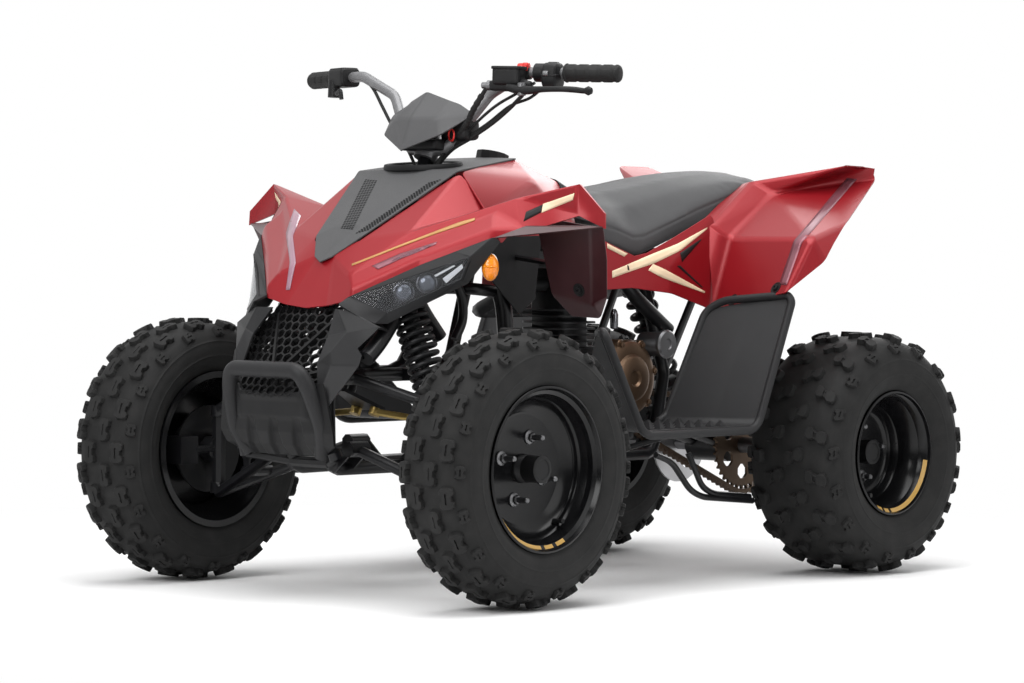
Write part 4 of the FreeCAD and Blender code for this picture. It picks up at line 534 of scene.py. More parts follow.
# Rims: profiles of (height, radius), and the place of the stripe's arcs and of the valve in degrees and
# metres.
rims = {
    "front": {"outer": [(0.0790, 0.1535), (0.0790, 0.1570), (0.0775, 0.1583), (0.0755, 0.1575),
                        (0.0740, 0.1545),
                        (0.0660, 0.1425), (0.0460, 0.1410), (0.0430, 0.1385), (0.0390, 0.1320),
                        (0.0345, 0.1310),
                        (0.0270, 0.1290), (0.0235, 0.1235), (0.0185, 0.1200), (0.0160, 0.1110),
                        (0.0125, 0.1070),
                        (0.0110, 0.1020), (0.0110, 0.0275)],
              "inner": [(-0.0020, 0.0275), (-0.0020, 0.1100), (0.0060, 0.1210), (0.0150, 0.1345),
                        (0.0340, 0.1350),
                        (0.0400, 0.1490), (0.0700, 0.1500), (0.0735, 0.1585), (0.0700, 0.1555),
                        (0.0660, 0.1480),
                        (0.0340, 0.1380), (-0.0340, 0.1200), (-0.0660, 0.1470), (-0.0735, 0.1478),
                        (-0.0745, 0.1580), (-0.0790, 0.1580), (-0.0790, 0.1450), (-0.0700, 0.1440),
                        (-0.0300, 0.1160), (0.0000, 0.1160)],
              "stud": 0.062, "cap": 0.054, "reach": 0.036, "turn": 20,
              "valve": (-126, 0.127), "arcs": [(-12, -87), (-91, -100), (-104, -113)]},
    "rear": {"outer": [(0.1050, 0.1255), (0.1050, 0.1285), (0.1038, 0.1300), (0.1015, 0.1290),
                       (0.1000, 0.1260),
                       (0.0920, 0.1160), (0.0720, 0.1150), (0.0690, 0.1130), (0.0640, 0.1080),
                       (0.0600, 0.1065),
                       (0.0440, 0.1050), (0.0390, 0.1010), (0.0350, 0.0960), (0.0180, 0.0950),
                       (0.0120, 0.0900),
                       (0.0100, 0.0840), (0.0095, 0.0800), (0.0095, 0.0275)],
             "inner": [(-0.0100, 0.0275), (-0.0100, 0.0840), (0.0060, 0.0880), (0.0300, 0.1000),
                       (0.0350, 0.1110),
                       (0.0580, 0.1120), (0.0640, 0.1235), (0.0960, 0.1245), (0.0990, 0.1300),
                       (0.0960, 0.1240),
                       (0.0500, 0.1000), (-0.0500, 0.0980), (-0.0900, 0.1205), (-0.1000, 0.1215),
                       (-0.1010, 0.1298), (-0.1050, 0.1298), (-0.1050, 0.1180), (-0.0950, 0.1170),
                       (-0.0480, 0.0950), (-0.0100, 0.0930)],
             "stud": 0.054, "cap": 0.038, "reach": 0.026, "turn": -10,
             "valve": (-62, 0.101), "arcs": [(-67, -75), (-79, -86), (-90, -171)]},
}
capRadius = 0.0260
capLow = [(0.0005, 1.08), (0.004, 1.06), (0.006,
                                          1.0)]   # heights above the rim's face and shares of the radius
capHigh = [(-0.006, 0.97), (-0.004, 1.0), (-0.001, 1.0), (0.0, 0.94), (0.0, 0.74),
           (-0.0015, 0.70)]   # below its end
nut = {"across": 0.0095, "tall": 0.011, "stud": 0.0055, "sink": 0.0006}
valve = {"from": 0.038, "to": 0.014, "lean": 0.002, "radii": [0.0055, 0.0055, 0.004, 0.0035, 0.0048,
                                                              0.0048]}
lipPaint = {"shares": np.array([0.18, 0.92]), "under": 0.0004, "over": 0.0002, "step": 3}
axle = [0, 1, 0]


def nutAndStud(centre, reach):
    # A hexagonal nut on its washer and on a thread that stands out of it, along the axle.
    across, tall, stud = nut["across"], nut["tall"], nut["stud"]
    hexagon = [(0, across), (tall * 0.85, across), (tall, across * 0.82), (tall, stud)]
    shaft = [(0, stud), (reach - 0.002, stud), (reach, stud * 0.7)]
    washer = [(-0.0005, across * 1.45), (0.002, across * 1.45), (0.0045, across)]
    return [turnedGrid(profile, centre, axle, sides) for profile,
            sides in ((hexagon, 6), (shaft, 12), (washer, 24))]


def lipArc(rim, first, last):   # a thin film on the lip's cone, from one angle to another
    turn = np.radians(np.linspace(first, last, max(4, int(abs(last - first) / lipPaint["step"]))))
    high, low = np.array(rim["outer"][4:6])
    (y0, r0), (y1, r1) = high + (low - high) * lipPaint["shares"][:, None]
    under, over = lipPaint["under"], lipPaint["over"]
    return wheelPoints(np.array([(y0, r0 - under), (y1, r1 - under), (y1, r1 + over), (y0, r0 + over)]),
                       turn[:, None])


def makeRim(kind, hand, stands):
    # Rim, nuts, hub cap, valve and the painted arcs on the lip, turned round the axle.
    rim, name = rims[kind], f"{kind}_{hand}"
    face, lip = rim["outer"][-1][0], rim["outer"][5][0]
    shell = turnedGrid(rim["outer"] + rim["inner"], (0, 0, 0), axle, 96)
    wheelPiece(name + "_rim_shell", kind, hand, [(shell, gridFaces(len(shell), 96, True, True))], "rim",
               angle=50,
               slot="rim_paint", stands=stands)
    studs = [wheelPoints((face + nut["sink"], rim["stud"]), math.radians(rim["turn"] + 90 * k))
             for k in range(4)]
    nuts = [grid for stud in studs for grid in nutAndStud(stud, rim["reach"])]
    wheelPiece(name + "_wheel_nuts", kind, hand, [joinHulls(nuts)], "dull", slot="bare_steel")
    cap = [(face + y, capRadius * r) for y, r in capLow]
    cap += [(face + rim["cap"] + y, capRadius * r) for y, r in capHigh]
    wheelPiece(name + "_hub_cap", kind, hand, [joinHulls([turnedGrid(cap, (0, 0, 0), axle, 48)])], "black",
               slot="black_plastic")
    turn, radius = rim["valve"]
    line = [(lip - valve["from"], radius), (lip - valve["to"], radius - valve["lean"])]
    first, last = wheelPoints(line, math.radians(turn))
    wheelPiece(name + "_valve", kind, hand, [joinHulls([tubeGrid(np.linspace(first, last, 6),
                                                                 valve["radii"], 14)])],
               "black")
    arcs = [lipArc(rim, *arc) for arc in rim["arcs"]]
    wheelPiece(name + "_rim_stripe", kind, hand, [joinHulls(arcs)], "rimGold")


makeRim("front", "left", ("front_rim_left",))
makeRim("front", "right", ("front_rim_right",))
makeRim("rear", "left", ("rear_rims",))
makeRim("rear", "right", ())
print("rims made")

# The nodes that keep their own form, by finish: a bevel with its segments where they are moulded or pressed
dressed = {
    ("tail_lamp",): ("redLens", 0.003, 3), ("fuel_cap",): ("black", 0.003, 2),
    ("engine_block",): ("engine", 0.006, 3),
    ("engine_cover",): ("bronze", 0.006, 3), ("airbox",): ("black", 0.006, 3),
    ("knuckle_left", "knuckle_right"): ("frame", 0.001, 2), ("rear_axle",): ("dull", 0, 0),
    ("rear_disc",): ("steel", 0, 0), ("handlebar",): ("alloy", 0, 0),
    ("sprocket", "chain"): ("brown", 0, 0),
    ("tie_rod_left", "tie_rod_right"): ("zinc", 0, 0),
    ("front_hub_left", "front_hub_right", "engine_cylinder", "exhaust"): ("engine", 0, 0),
    ("steering_stem", "frame_left", "frame_right", "frame_middle", "stays_left", "stays_right",
     "upper_arms",
     "lower_arms", "swingarm"): ("frame", 0, 0),
}
for labels, (material, bevel, segments) in dressed.items():
    for label in labels:
        dress(label, material, bevel, segments, angle=24 if bevel else 50)
print("nodes dressed")

# Bodywork: open sheets of facets between named places, with soft creases, thickened inwards

def sheetPiece(name, sheet, label, material, facing, stands=(), side=1, whole=True, places=at, wall=0.0035,
               crease=0.007, angle=7, segments=3):
    # One sheet, its mirror image joined where it is whole, whose faces look the way given on the whole.
    names, turn = list(sheet["points"]), np.array([1, side, 1])
    place = np.array([places(*sheet["points"][n]) for n in names]) * turn
    quads = [[names.index(n) for n in face.split()][::side] for face in sheet["faces"]]
    if whole:
        place = np.vstack([place, place * [1, -1, 1]])
        quads = quads + [[i + len(names) for i in face[::-1]] for face in quads]
    mesh = bpy.data.meshes.new(name)
    mesh.from_pydata(place.tolist(), [], quads)
    work = bmesh.new()
    work.from_mesh(mesh)
    bmesh.ops.remove_doubles(work, verts=work.verts, dist=1e-5)
    bmesh.ops.recalc_face_normals(work, faces=work.faces)
    lean = sum((np.array(f.normal) * f.calc_area() for f in work.faces), np.zeros(3))
    if lean @ (np.array(facing, float) * turn) < 0:
        bmesh.ops.reverse_faces(work, faces=work.faces)
    work.to_mesh(mesh)
    work.free()
    piece = finishPiece(mesh, name, material, nodeBody(label), nodeSlot(label), stands, angle=180)
    addBevel(piece, "creases", crease, segments, angle)
    thick = piece.modifiers.new("wall", "SOLIDIFY")
    thick.thickness, thick.offset, thick.use_even_offset = wall, -1, True
    addBevel(piece, "rim", wall * 0.3, 2, 60)
    shade = piece.modifiers.new("shading", "WEIGHTED_NORMAL")
    shade.keep_sharp, shade.weight = True, 100
    return piece


def sheetPair(name, sheet, label, material, facing, stands=(), **options):
    # A sheet on the left, which stands for what it replaces, and its mirror image on the right.
    first = sheetPiece(name + "_left", sheet, label, material, facing, stands, 1, False, **options)
    sheetPiece(name + "_right", sheet, label, material, facing, (), -1, False, **options)
    return first


fairing = {
    "points": {
        "noseMiddle": (0.601, 0.0, 0.562), "noseCorner": (0.599, 0.118, 0.568),
        "lensTop": (0.595, 0.230, 0.580), "edgeInner": (0.515, 0.430, 0.645),
        "edgeMiddle": (0.436, 0.630, 0.697), "edgeOuter": (0.388, 0.700, 0.720),
        "edgeRear": (0.313, 0.820, 0.752), "cornerLow": (0.318, 0.974, 0.720),
        "cornerHigh": (0.317, 0.972, 0.749), "tip": (0.318, 0.830, 0.806),
        "valley": (0.340, 0.444, 0.757), "ridge": (0.372, 0.640, 0.780), "brow": (0.489, 0.320, 0.712),
        "hoodTop": (0.349, 0.276, 0.826), "hoodSide": (0.521, 0.132, 0.697),
        "hoodFront": (0.558, 0.054, 0.658), "hoodMiddle": (0.558, 0.0, 0.658),
        "bandFront": (0.583, 0.190, 0.628), "bandMiddle": (0.487, 0.372, 0.695),
        "bandRear": (0.403, 0.580, 0.750), "rollFront": (0.595, 0.228, 0.601),
        "rollMiddle": (0.510, 0.426, 0.666), "rollRear": (0.429, 0.628, 0.719),
    },
    "faces": [
        "noseMiddle noseCorner hoodFront hoodMiddle", "noseCorner lensTop rollFront bandFront hoodFront",
        "hoodFront bandFront hoodSide", "bandFront rollFront rollMiddle bandMiddle",
        "rollFront lensTop edgeInner rollMiddle", "bandMiddle rollMiddle rollRear bandRear",
        "rollMiddle edgeInner edgeMiddle rollRear", "rollRear edgeMiddle edgeOuter",
        "rollRear edgeOuter bandRear", "edgeOuter ridge bandRear", "edgeOuter edgeRear ridge",
        "ridge edgeRear tip", "hoodSide bandFront brow", "bandFront bandMiddle brow",
        "hoodSide brow hoodTop", "brow valley hoodTop", "brow bandMiddle bandRear ridge",
        "brow ridge valley", "valley ridge tip", "edgeRear cornerLow cornerHigh tip",
    ],
}
hood = {
    "points": {
        "top": (0.3495, 0.272, 0.832), "topMiddle": (0.350, 0.0, 0.838), "side": (0.522, 0.124, 0.701),
        "front": (0.560, 0.046, 0.662), "frontMiddle": (0.560, 0.0, 0.660),
        "flatSide": (0.500, 0.060, 0.722), "flatMiddle": (0.503, 0.0, 0.722),
        "flatTop": (0.352, 0.120, 0.834), "rearSide": (0.162, 0.196, 0.860),
        "rearMiddle": (0.162, 0.0, 0.862),
    },
    "faces": [
        "topMiddle flatTop flatSide flatMiddle", "flatTop top side flatSide",
        "flatMiddle flatSide frontMiddle", "flatSide side front frontMiddle",
        "topMiddle rearMiddle rearSide flatTop", "flatTop rearSide top",
    ],
}
tank = {
    "points": {
        "front": (0.345, 0.276, 0.829), "valley": (0.335, 0.440, 0.761), "top": (0.164, 0.200, 0.856),
        "topMiddle": (0.164, 0.0, 0.858), "rear": (0.040, 0.190, 0.812),
        "rearMiddle": (0.036, 0.0, 0.826), "lowRear": (0.076, 0.330, 0.716),
        "lowFront": (0.300, 0.400, 0.690), "shoulder": (0.180, 0.330, 0.815),
    },
    "faces": [
        "topMiddle top rear rearMiddle", "front valley shoulder", "front shoulder top",
        "valley lowRear shoulder", "top shoulder rear", "shoulder lowRear rear",
        "valley lowFront lowRear",
    ],
}
flap = {
    "points": {
        "innerHigh": (0.330, 0.640, 0.742), "outerHigh": (0.316, 0.962, 0.722),
        "outerMiddle": (0.292, 0.935, 0.660), "outerLow": (0.262, 0.880, 0.585),
        "tip": (0.248, 0.820, 0.545), "tipInner": (0.262, 0.700, 0.548),
        "innerLow": (0.285, 0.640, 0.590), "fold": (0.318, 0.900, 0.725),
        "foldLow": (0.276, 0.830, 0.570),
    },
    "faces": [
        "innerHigh fold foldLow innerLow", "fold outerHigh outerMiddle outerLow foldLow",
        "innerLow foldLow tip tipInner", "foldLow outerLow tip",
    ],
}
side = {
    "points": {
        "frontHigh": (-0.012, 0.334, 0.694), "frontLow": (-0.004, 0.330, 0.594),
        "archFront": (-0.076, 0.360, 0.598), "archRear": (-0.177, 0.380, 0.586),
        "rearLow": (-0.290, 0.390, 0.550), "rearHigh": (-0.300, 0.378, 0.740),
        "seatFront": (-0.105, 0.334, 0.660), "seatRear": (-0.292, 0.368, 0.750),
        "seatMiddle": (-0.200, 0.352, 0.704), "bulge": (-0.180, 0.385, 0.650),
    },
    "faces": [
        "frontHigh frontLow archFront seatFront", "archFront archRear bulge seatFront",
        "archRear rearLow rearHigh bulge", "seatFront bulge seatMiddle",
        "bulge rearHigh seatRear seatMiddle",
    ],
}
rear = {
    "points": {
        "seatSide": (-0.290, 0.388, 0.728), "innerLow": (-0.284, 0.396, 0.550),
        "outerLow": (-0.262, 0.830, 0.592), "creaseInner": (-0.312, 0.440, 0.702),
        "creaseOuter": (-0.320, 0.860, 0.702), "edgeLow": (-0.345, 0.880, 0.655),
        "edgeMiddle": (-0.372, 0.880, 0.692), "edgeHigh": (-0.440, 0.820, 0.732),
        "shelf": (-0.460, 0.400, 0.795), "shelfTop": (-0.440, 0.320, 0.822),
        "tipFront": (-0.547, 0.648, 0.858), "tip": (-0.636, 0.612, 0.856),
        "tipLow": (-0.656, 0.610, 0.830), "tail": (-0.640, 0.300, 0.800),
        "tailMiddle": (-0.640, 0.0, 0.796), "shelfRear": (-0.545, 0.270, 0.822),
        "shelfRearMiddle": (-0.545, 0.0, 0.822), "seatInner": (-0.300, 0.330, 0.745),
        "shelfInner": (-0.440, 0.240, 0.812),
    },
    "faces": [
        "seatSide innerLow creaseInner", "innerLow outerLow creaseOuter creaseInner",
        "outerLow edgeLow creaseOuter", "creaseInner creaseOuter shelf", "seatSide creaseInner shelf",
        "seatSide shelf shelfTop", "creaseOuter edgeLow edgeMiddle edgeHigh",
        "creaseOuter edgeHigh tipLow shelf", "shelf tipLow tip", "shelf tip tipFront",
        "shelf tipFront shelfTop", "shelfTop tipFront shelfRear", "tipFront tip shelfRear",
        "tip tail shelfRear", "shelfRear tail tailMiddle shelfRearMiddle",
        "seatInner seatSide shelfTop shelfInner",
    ],
}
foot = {
    "points": {
        "riserHighIn": (0.190, 0.700, 0.520), "riserHighOut": (0.219, 0.760, 0.522),
        "riserLowIn": (0.104, 0.430, 0.322), "riserLowOut": (0.142, 0.826, 0.322),
        "heelLowIn": (-0.118, 0.446, 0.322), "heelLowOut": (-0.182, 0.826, 0.322),
        "heelHighIn": (-0.236, 0.446, 0.552), "heelHighOut": (-0.277, 0.826, 0.580),
        "heelMiddle": (-0.140, 0.640, 0.322), "heelMiddleHigh": (-0.262, 0.640, 0.572),
    },
    "faces": [
        "riserHighIn riserHighOut riserLowOut riserLowIn",
        "riserLowIn riserLowOut heelLowOut heelMiddle heelLowIn",
        "heelLowIn heelMiddle heelMiddleHigh heelHighIn",
        "heelMiddle heelLowOut heelHighOut heelMiddleHigh",
    ],
}
skins = {
    "fairing": sheetPiece("fairing_skin", fairing, "front_fairing", "red", (0.3, 0, 1), ("front_fairing",)),
    "hood": sheetPiece("hood_skin", hood, "hood_cover", "satin", (0.3, 0, 1), ("hood_cover",),
                       crease=0.004),
    "tank": sheetPiece("tank_skin", tank, "tank_cover", "red", (0, 0, 1), ("tank_cover",), crease=0.009),
    # painted shade: the flaps behind the front wheels take the darker maroon copy of the red
    "flap": sheetPair("flap_skin", flap, "front_flaps", "maroon", (1, 0, 0), ("front_flaps",), wall=0.0032,
                      crease=0.006),
    "side": sheetPair("side_skin", side, "side_panels", "red", (0, 1, 0), ("side_panels",), crease=0.012,
                      segments=4),
    "rear": sheetPiece("rear_skin", rear, "rear_fender", "red", (0, 0, 1), ("rear_fender",), crease=0.010,
                       segments=4),
    "foot": sheetPair("foot_skin", foot, "footboards", "grey", (0.5, 0, 1), ("footboards",), wall=0.005,
                      crease=0.016, angle=4, segments=5),
}

well = {"centre": (0.310, 0.0, 0.8425), "half": (0.062, 0.084), "rim": 0.0035, "lean": -0.08,
        "lift": 0.0008,
        "under": 0.004, "columns": 64,
        "rings": [(0.02, 0.0), (0.5, 0.0), (0.93, 0.0), (0.95, 1.0), (1.0, 1.3), (1.05, 1.0), (1.07, -0.6)]}


def makeWell():
    # The steering hole: an oval dish with a raised rim, whose height follows the hood's slope.
    ring, rise = np.array(well["rings"]).T[..., None]
    turn = roundTurn(well["columns"])[None, :]
    x, y = ring * np.cos(turn) * well["half"][0], ring * np.sin(turn) * well["half"][1]
    grid = np.stack([x, y, rise * well["rim"] + well["lift"] + x * well["lean"]],
                    axis=-1) + at(*well["centre"])
    grid = np.concatenate([grid, grid[-1:] - [0, 0, well["under"]]])
    hull("steering_well", grid, "pan", "hood_cover", slot="airbox", angle=60)


makeWell()
print("bodywork made")

# Front: honeycomb grille with its ribs and wings, skid plate and hoop
grille = {"pitch": 0.0215, "wall": 0.0036, "depth": 0.009, "foot": (783, 0, 421),
          "slope": (-0.589, 0.0, 0.808),
          "outline": [(0.088, -0.022), (0.118, 0.010), (0.150, 0.062), (0.110, 0.168)], "bow": 0.037,
          "bowHalf": 0.165, "rows": (-2, 16), "columns": (-11, 12), "margin": -0.002, "lap": 1.004}
ribs = {"width": 0.006, "depth": 0.012, "out": 0.003, "steps": 9,
        "lines": [[(0.019, 0.045), (0.084, 0.160)], [(0.019, 0.045), (0.058, 0.012)],
                  [(0.058, 0.012), (0.122, 0.034)]]}


def onGrille(across, rise, inward=0.0):
    # Points of the grille's bowed face: a slope that falls back with the distance from its middle, to the
    # power 1.5.
    slope = np.array(grille["slope"])
    out = np.array([slope[2], 0, -slope[0]])
    back = grille["bow"] * (np.abs(across) / grille["bowHalf"]) ** 1.5
    base = mm(*grille["foot"]) + rise[..., None] * slope - inward[..., None] * out
    return base + np.stack([-back, across, np.zeros_like(across)], axis=-1)


def insideGrille(across, rise, margin):   # inside the outline, whose half width is drawn over the rise
    half = np.array(grille["outline"])
    width = np.interp(rise, half[:, 1], half[:, 0])
    return (np.abs(across) < width - margin) & (rise > half[0, 1]) & (rise < half[-1, 1] - margin)


def makeGrille():
    # Six-sided rings side by side: two hexagons, front and back, whose centres stand in staggered rows.
    pitch, wall, depth = grille["pitch"], grille["wall"], grille["depth"]
    row, column = np.meshgrid(np.arange(*grille["rows"]), np.arange(*grille["columns"]), indexing="ij")
    across = ((column + 0.5 * (row % 2)) * pitch).ravel()
    rise = (row * pitch * math.sqrt(3) / 2).ravel()
    kept = insideGrille(across, rise, grille["margin"])
    across, rise = across[kept][:, None, None], rise[kept][:, None, None]
    turn = np.arange(6) * math.pi / 3 + math.pi / 6
    outer, inner = pitch / math.sqrt(3) * grille["lap"], (pitch - wall) / math.sqrt(3)
    radius = np.array([outer, inner, inner, outer])[:, None]
    inward = np.broadcast_to(np.array([0, 0, depth, depth])[:, None], (len(across), 4, 6))
    places = onGrille(across + radius * np.cos(turn), rise + radius * np.sin(turn), inward)
    points, faces = joinParts([(cell, gridFaces(4, 6, True, True)) for cell in places])
    addPiece("grille_cells", points, faces, "black", "grille", ("grille",))


def makeRib(number, line):   # a square bar between two places of the face
    a, b = np.array(line)
    aside = unit(np.array([-(b - a)[1], (b - a)[0]])) * ribs["width"] / 2
    along = np.linspace(0, 1, ribs["steps"])[:, None]
    middle = a * (1 - along) + b * along
    corners = np.stack([middle - aside, middle + aside, middle + aside, middle - aside], axis=1)
    inward = np.broadcast_to([-ribs["out"], -ribs["out"], ribs["depth"], ribs["depth"]], corners.shape[:2])
    hullPair(f"grille_rib_{number}", onGrille(corners[..., 0], corners[..., 1], inward), "black", "grille")


makeGrille()
for number, line in enumerate(ribs["lines"]):
    makeRib(number, line)

wing = {
    "points": {
        "in0": (694, 86, 562), "in1": (731, 102, 510), "in2": (757, 106, 461), "in3": (762, 106, 397),
        "edge0": (714, 110, 562), "edge1": (716, 138, 519), "edge2": (752, 128, 481),
        "edge3": (750, 130, 456), "edge4": (769, 118, 403), "out0": (700, 135, 558),
        "out1": (687, 190, 531), "out2": (708, 160, 488), "out3": (711, 174, 475),
        "out4": (717, 172, 455), "out5": (765, 140, 380), "back1": (640, 176, 522),
        "back0": (650, 130, 556),
    },
    "faces": [
        "in0 in1 edge1 edge0", "in1 in2 edge2 edge1", "in2 in3 edge4 edge3", "in2 edge3 edge2",
        "edge0 edge1 out1 out0", "edge1 edge2 out2 out1", "edge2 edge3 out4 out3 out2",
        "edge3 edge4 out5 out4", "out0 out1 back1 back0",
    ],
}
sheetPair("grille_wing", wing, "grille", "grey", (1, 0.4, 0), ("grille",), places=mm, wall=0.004,
          crease=0.003)

# The skid plate in millimetres: its side line is (share down, half width, height, reach).
plate = {"rows": 60, "columns": 161, "wall": 0.005, "top": 421, "bow": 9,
         "side": [(0.0, 134, 421, 778), (0.10, 139, 405, 776), (0.60, 153, 325, 767), (0.80, 146, 300, 757),
                  (1.0, 104, 279, 738)],
         "window": {"half": 82, "height": 404, "soft": 3, "lip": 4, "lipShare": 0.12, "lipWidth": 0.05},
         "gills": (-62, 0, 62),
         "gill": {"half": 15, "low": 300, "high": 352, "lean": 0.075, "deep": 9, "fade": 22},
         "ridge": {"half": 96, "low": 352, "deep": 5}}


def step(x, soft):   # from 0 to 1 as x grows through zero
    return 1 / (1 + np.exp(-x / soft))


def gillDepth(y, z):   # slanted hollows that taper upwards and fade towards their top edge
    gill = plate["gill"]
    tall, depth = gill["high"] - gill["low"], 0
    for middle in plate["gills"]:
        across = y - middle - (z - gill["low"]) * gill["lean"]
        half = gill["half"] * (0.55 + 0.45 * (gill["high"] - z) / tall)
        inside = step(half - np.abs(across), 0.8) * step(gill["high"] - z, 1.2)
        depth = depth + gill["deep"] * inside * np.clip((gill["high"] - z) / gill["fade"], 0.25, 1)
    return depth


def makePlate():
    # Its half width, height and reach follow the side line, bowed forward in the middle, with a window's
    # dip in the top edge, a raised ridge under it and three slanted gills pressed in.
    t = np.linspace(0, 1, plate["rows"])[:, None]
    s = np.linspace(-1, 1, plate["columns"])[None, :]
    side, window, ridge = np.array(plate["side"]), plate["window"], plate["ridge"]
    width, height, reach = (np.interp(t, side[:, 0], side[:, k]) for k in (1, 2, 3))
    y = s * width
    dip = 0.5 + 0.5 * np.tanh((window["half"] - np.abs(y)) / window["soft"])
    z = height - dip * (plate["top"] - window["height"]) * (1 - t) ** 6
    lip = window["lip"] * dip * np.exp(-((t - window["lipShare"]) / window["lipWidth"]) ** 2)
    x = reach + plate["bow"] * (1 - s ** 2) + lip - gillDepth(y, z)
    raised = step(ridge["half"] - np.abs(y), 1.5) * step(z - ridge["low"],
                                                         1.5) * (1 - dip * 0.2) * (t > 0.02)
    x = x + ridge["deep"] * raised
    front = np.stack([x - wheelMiddle, y + 0 * t, z], axis=-1) / 1000
    back = front - np.array([plate["wall"], 0, 0])
    faces = slabFaces(plate["rows"], plate["columns"])
    addPiece("bumper_plate_skin", np.stack([front, back]), faces, "black", "bumper_plate",
             ("bumper_plate",), angle=50)


makePlate()
hoop = {"left": [(738, 98, 280), (760, 121, 330), (788, 107, 413), (799, 90, 445)], "radius": 0.0158,
        "bend": 0.045}
hoopLine = [mm(*p) for p in hoop["left"]]
hoopLine += [p * [1, -1, 1] for p in hoopLine[::-1]]
hoopGrid = tubeGrid(rounded(hoopLine, hoop["bend"], 9), hoop["radius"], 24)
hull("bumper_hoop_bar", hoopGrid, "grey", "bumper_hoop", ("bumper_hoop",))

# Headlights: a bent bezel, a dark pan with two projectors and two light strips, and a clear cover
lamp = {
    "points": {
        "top0": (684, 114, 585), "top1": (592, 214, 648), "top2": (500, 318, 702),
        "hold0": (717, 116, 572), "hold1": (698, 150, 549), "hold2": (679, 180, 535),
        "hold3": (656, 190, 535), "hold4": (593, 240, 577), "hold5": (526, 277, 612),
        "hold6": (482, 322, 694), "lens0": (694, 129, 586), "lens1": (661, 190, 554),
        "lens2": (548, 280, 619), "lens3": (540, 296, 664), "lens4": (556, 272, 672),
    },
    "faces": [
        "top0 hold0 lens0", "hold0 hold1 lens0", "hold1 hold2 lens1 lens0", "hold2 hold3 lens1",
        "hold3 hold4 lens2 lens1", "hold4 hold5 lens2", "hold5 hold6 lens3 lens2", "hold6 top2 lens3",
        "top2 top1 lens4 lens3", "top0 lens0 lens3", "top0 lens3 lens4 top1",
    ],
    "pan": 34,
    "projector": 0.0205,
    "spots": [(0.36, 0.50), (0.60, 0.52)],
}
cover = {"rows": 13, "columns": 25, "crown": 0.048, "lift": 0.001, "wall": 0.0025}
pan = {"inset": 0.003, "shares": (0.80, 0.78), "wall": 0.004, "flare": 0.05}
barrel = [(0, 0.72), (0.012, 1.0), (0.0225, 1.0), (0.0235, 0.86),
          (0.0200, 0.80)]   # heights, shares of the radius
dome = {"height": 0.0200, "rise": 0.007, "share": 0.78, "seat": 0.86}
bars = {"strip": [(0.80, 0.20), (0.965, 0.62), (0.94, 0.82), (0.76, 0.46)],
        "shelf": [(0.70, 0.66), (0.88, 0.84), (0.86, 0.90), (0.68, 0.74)]}
barPlace = {"behind": 0.007, "deep": 0.008, "edge": 0.001}
sheetPair("headlight_bezel", lamp, "headlights", "grey", (1, 1, 0), ("headlights",), places=mm, wall=0.004,
          crease=0.002)
lampIn = unit(np.array([-0.72, -0.66, -0.12]))
lensCorners = np.array([mm(*lamp["points"][key]) for key in ("lens0", "lens1", "lens2", "lens3")])


def onLens(u, v, lift=0.0):
    # The cover: bilinear between its four corners, crowned outwards by a product of two parabolas.
    u, v = np.asarray(u, float)[..., None], np.asarray(v, float)[..., None]
    low = lensCorners[1] * (1 - u) + lensCorners[2] * u
    high = lensCorners[0] * (1 - u) + lensCorners[3] * u
    crown = cover["crown"] * u * (1 - u) * v * (1 - v)
    return low * (1 - v) + high * v - lampIn * (crown + lift)


def makeCover():
    u, v = np.meshgrid(np.linspace(0, 1, cover["columns"]), np.linspace(0, 1, cover["rows"]))
    outside = onLens(u, v, cover["lift"])
    shell = np.stack([outside, outside + lampIn * cover["wall"]])
    bothSides("headlight_cover", shell, slabFaces(cover["rows"], cover["columns"]), "clear",
              "headlight_lenses",
              ("headlight_lenses",), angle=60)


def makeLamp():
    # The pan narrows towards its floor; each projector is a barrel with a dome, and the strips lie under
    # the cover.
    deep = lampIn * lamp["pan"] / 1000
    ring = onLens([0, 1, 1, 0], [0, 0, 1, 1]) + lampIn * pan["inset"]
    middle, (floor, under) = ring.mean(axis=0), pan["shares"]
    inner, outer = (ring * share + middle * (1 - share) + deep for share in (floor, under))
    walls = np.stack([ring, inner, outer + lampIn * pan["wall"], ring + (ring - middle) * pan["flare"]])
    bothSides("headlight_pan", walls, gridFaces(4, 4, True, True) + [[4, 5, 6, 7], [11, 10, 9, 8]], "pan",
              "headlights")
    for number, (u, v) in enumerate(lamp["spots"]):
        seat, r = onLens(u, v) + deep * dome["seat"], lamp["projector"]
        profile = [(height, r * share) for height, share in barrel]
        hullPair(f"headlight_barrel_{number}", turnedGrid(profile, seat, -lampIn, 40), "mirror",
                 "headlights")
        angle = np.linspace(0.02, 1, 12) * math.pi / 2
        cap = np.stack([dome["height"] + dome["rise"] * np.cos(angle), r * dome["share"] * np.sin(angle)],
                       axis=-1)
        hullPair(f"headlight_glass_{number}", turnedGrid(cap, seat, -lampIn, 40), "bulb", "headlights",
                 slot="headlight_lenses")
    for key, corners in bars.items():
        face = np.array([onLens(u, v) + lampIn * barPlace["behind"] for u, v in corners])
        hullPair("headlight_" + key, np.stack([face, face + lampIn * barPlace["deep"]]), "lamp",
                 "headlights",
                 bevel=barPlace["edge"])


makeCover()
makeLamp()

indicator = {"centre": (487, 300, 644), "axis": (0.70, 0.71, 0.05), "half": (0.0165, 0.0265), "deep": 0.013,
             "rib": 0.0006, "ribs": 1400, "line": (0.0015, 0.0012), "skirt": [(1.0, 0.010), (0.85, 0.014)],
             "stalk": [0.010, 0.011, 0.014, 0.016], "from": 0.050, "to": 0.010}


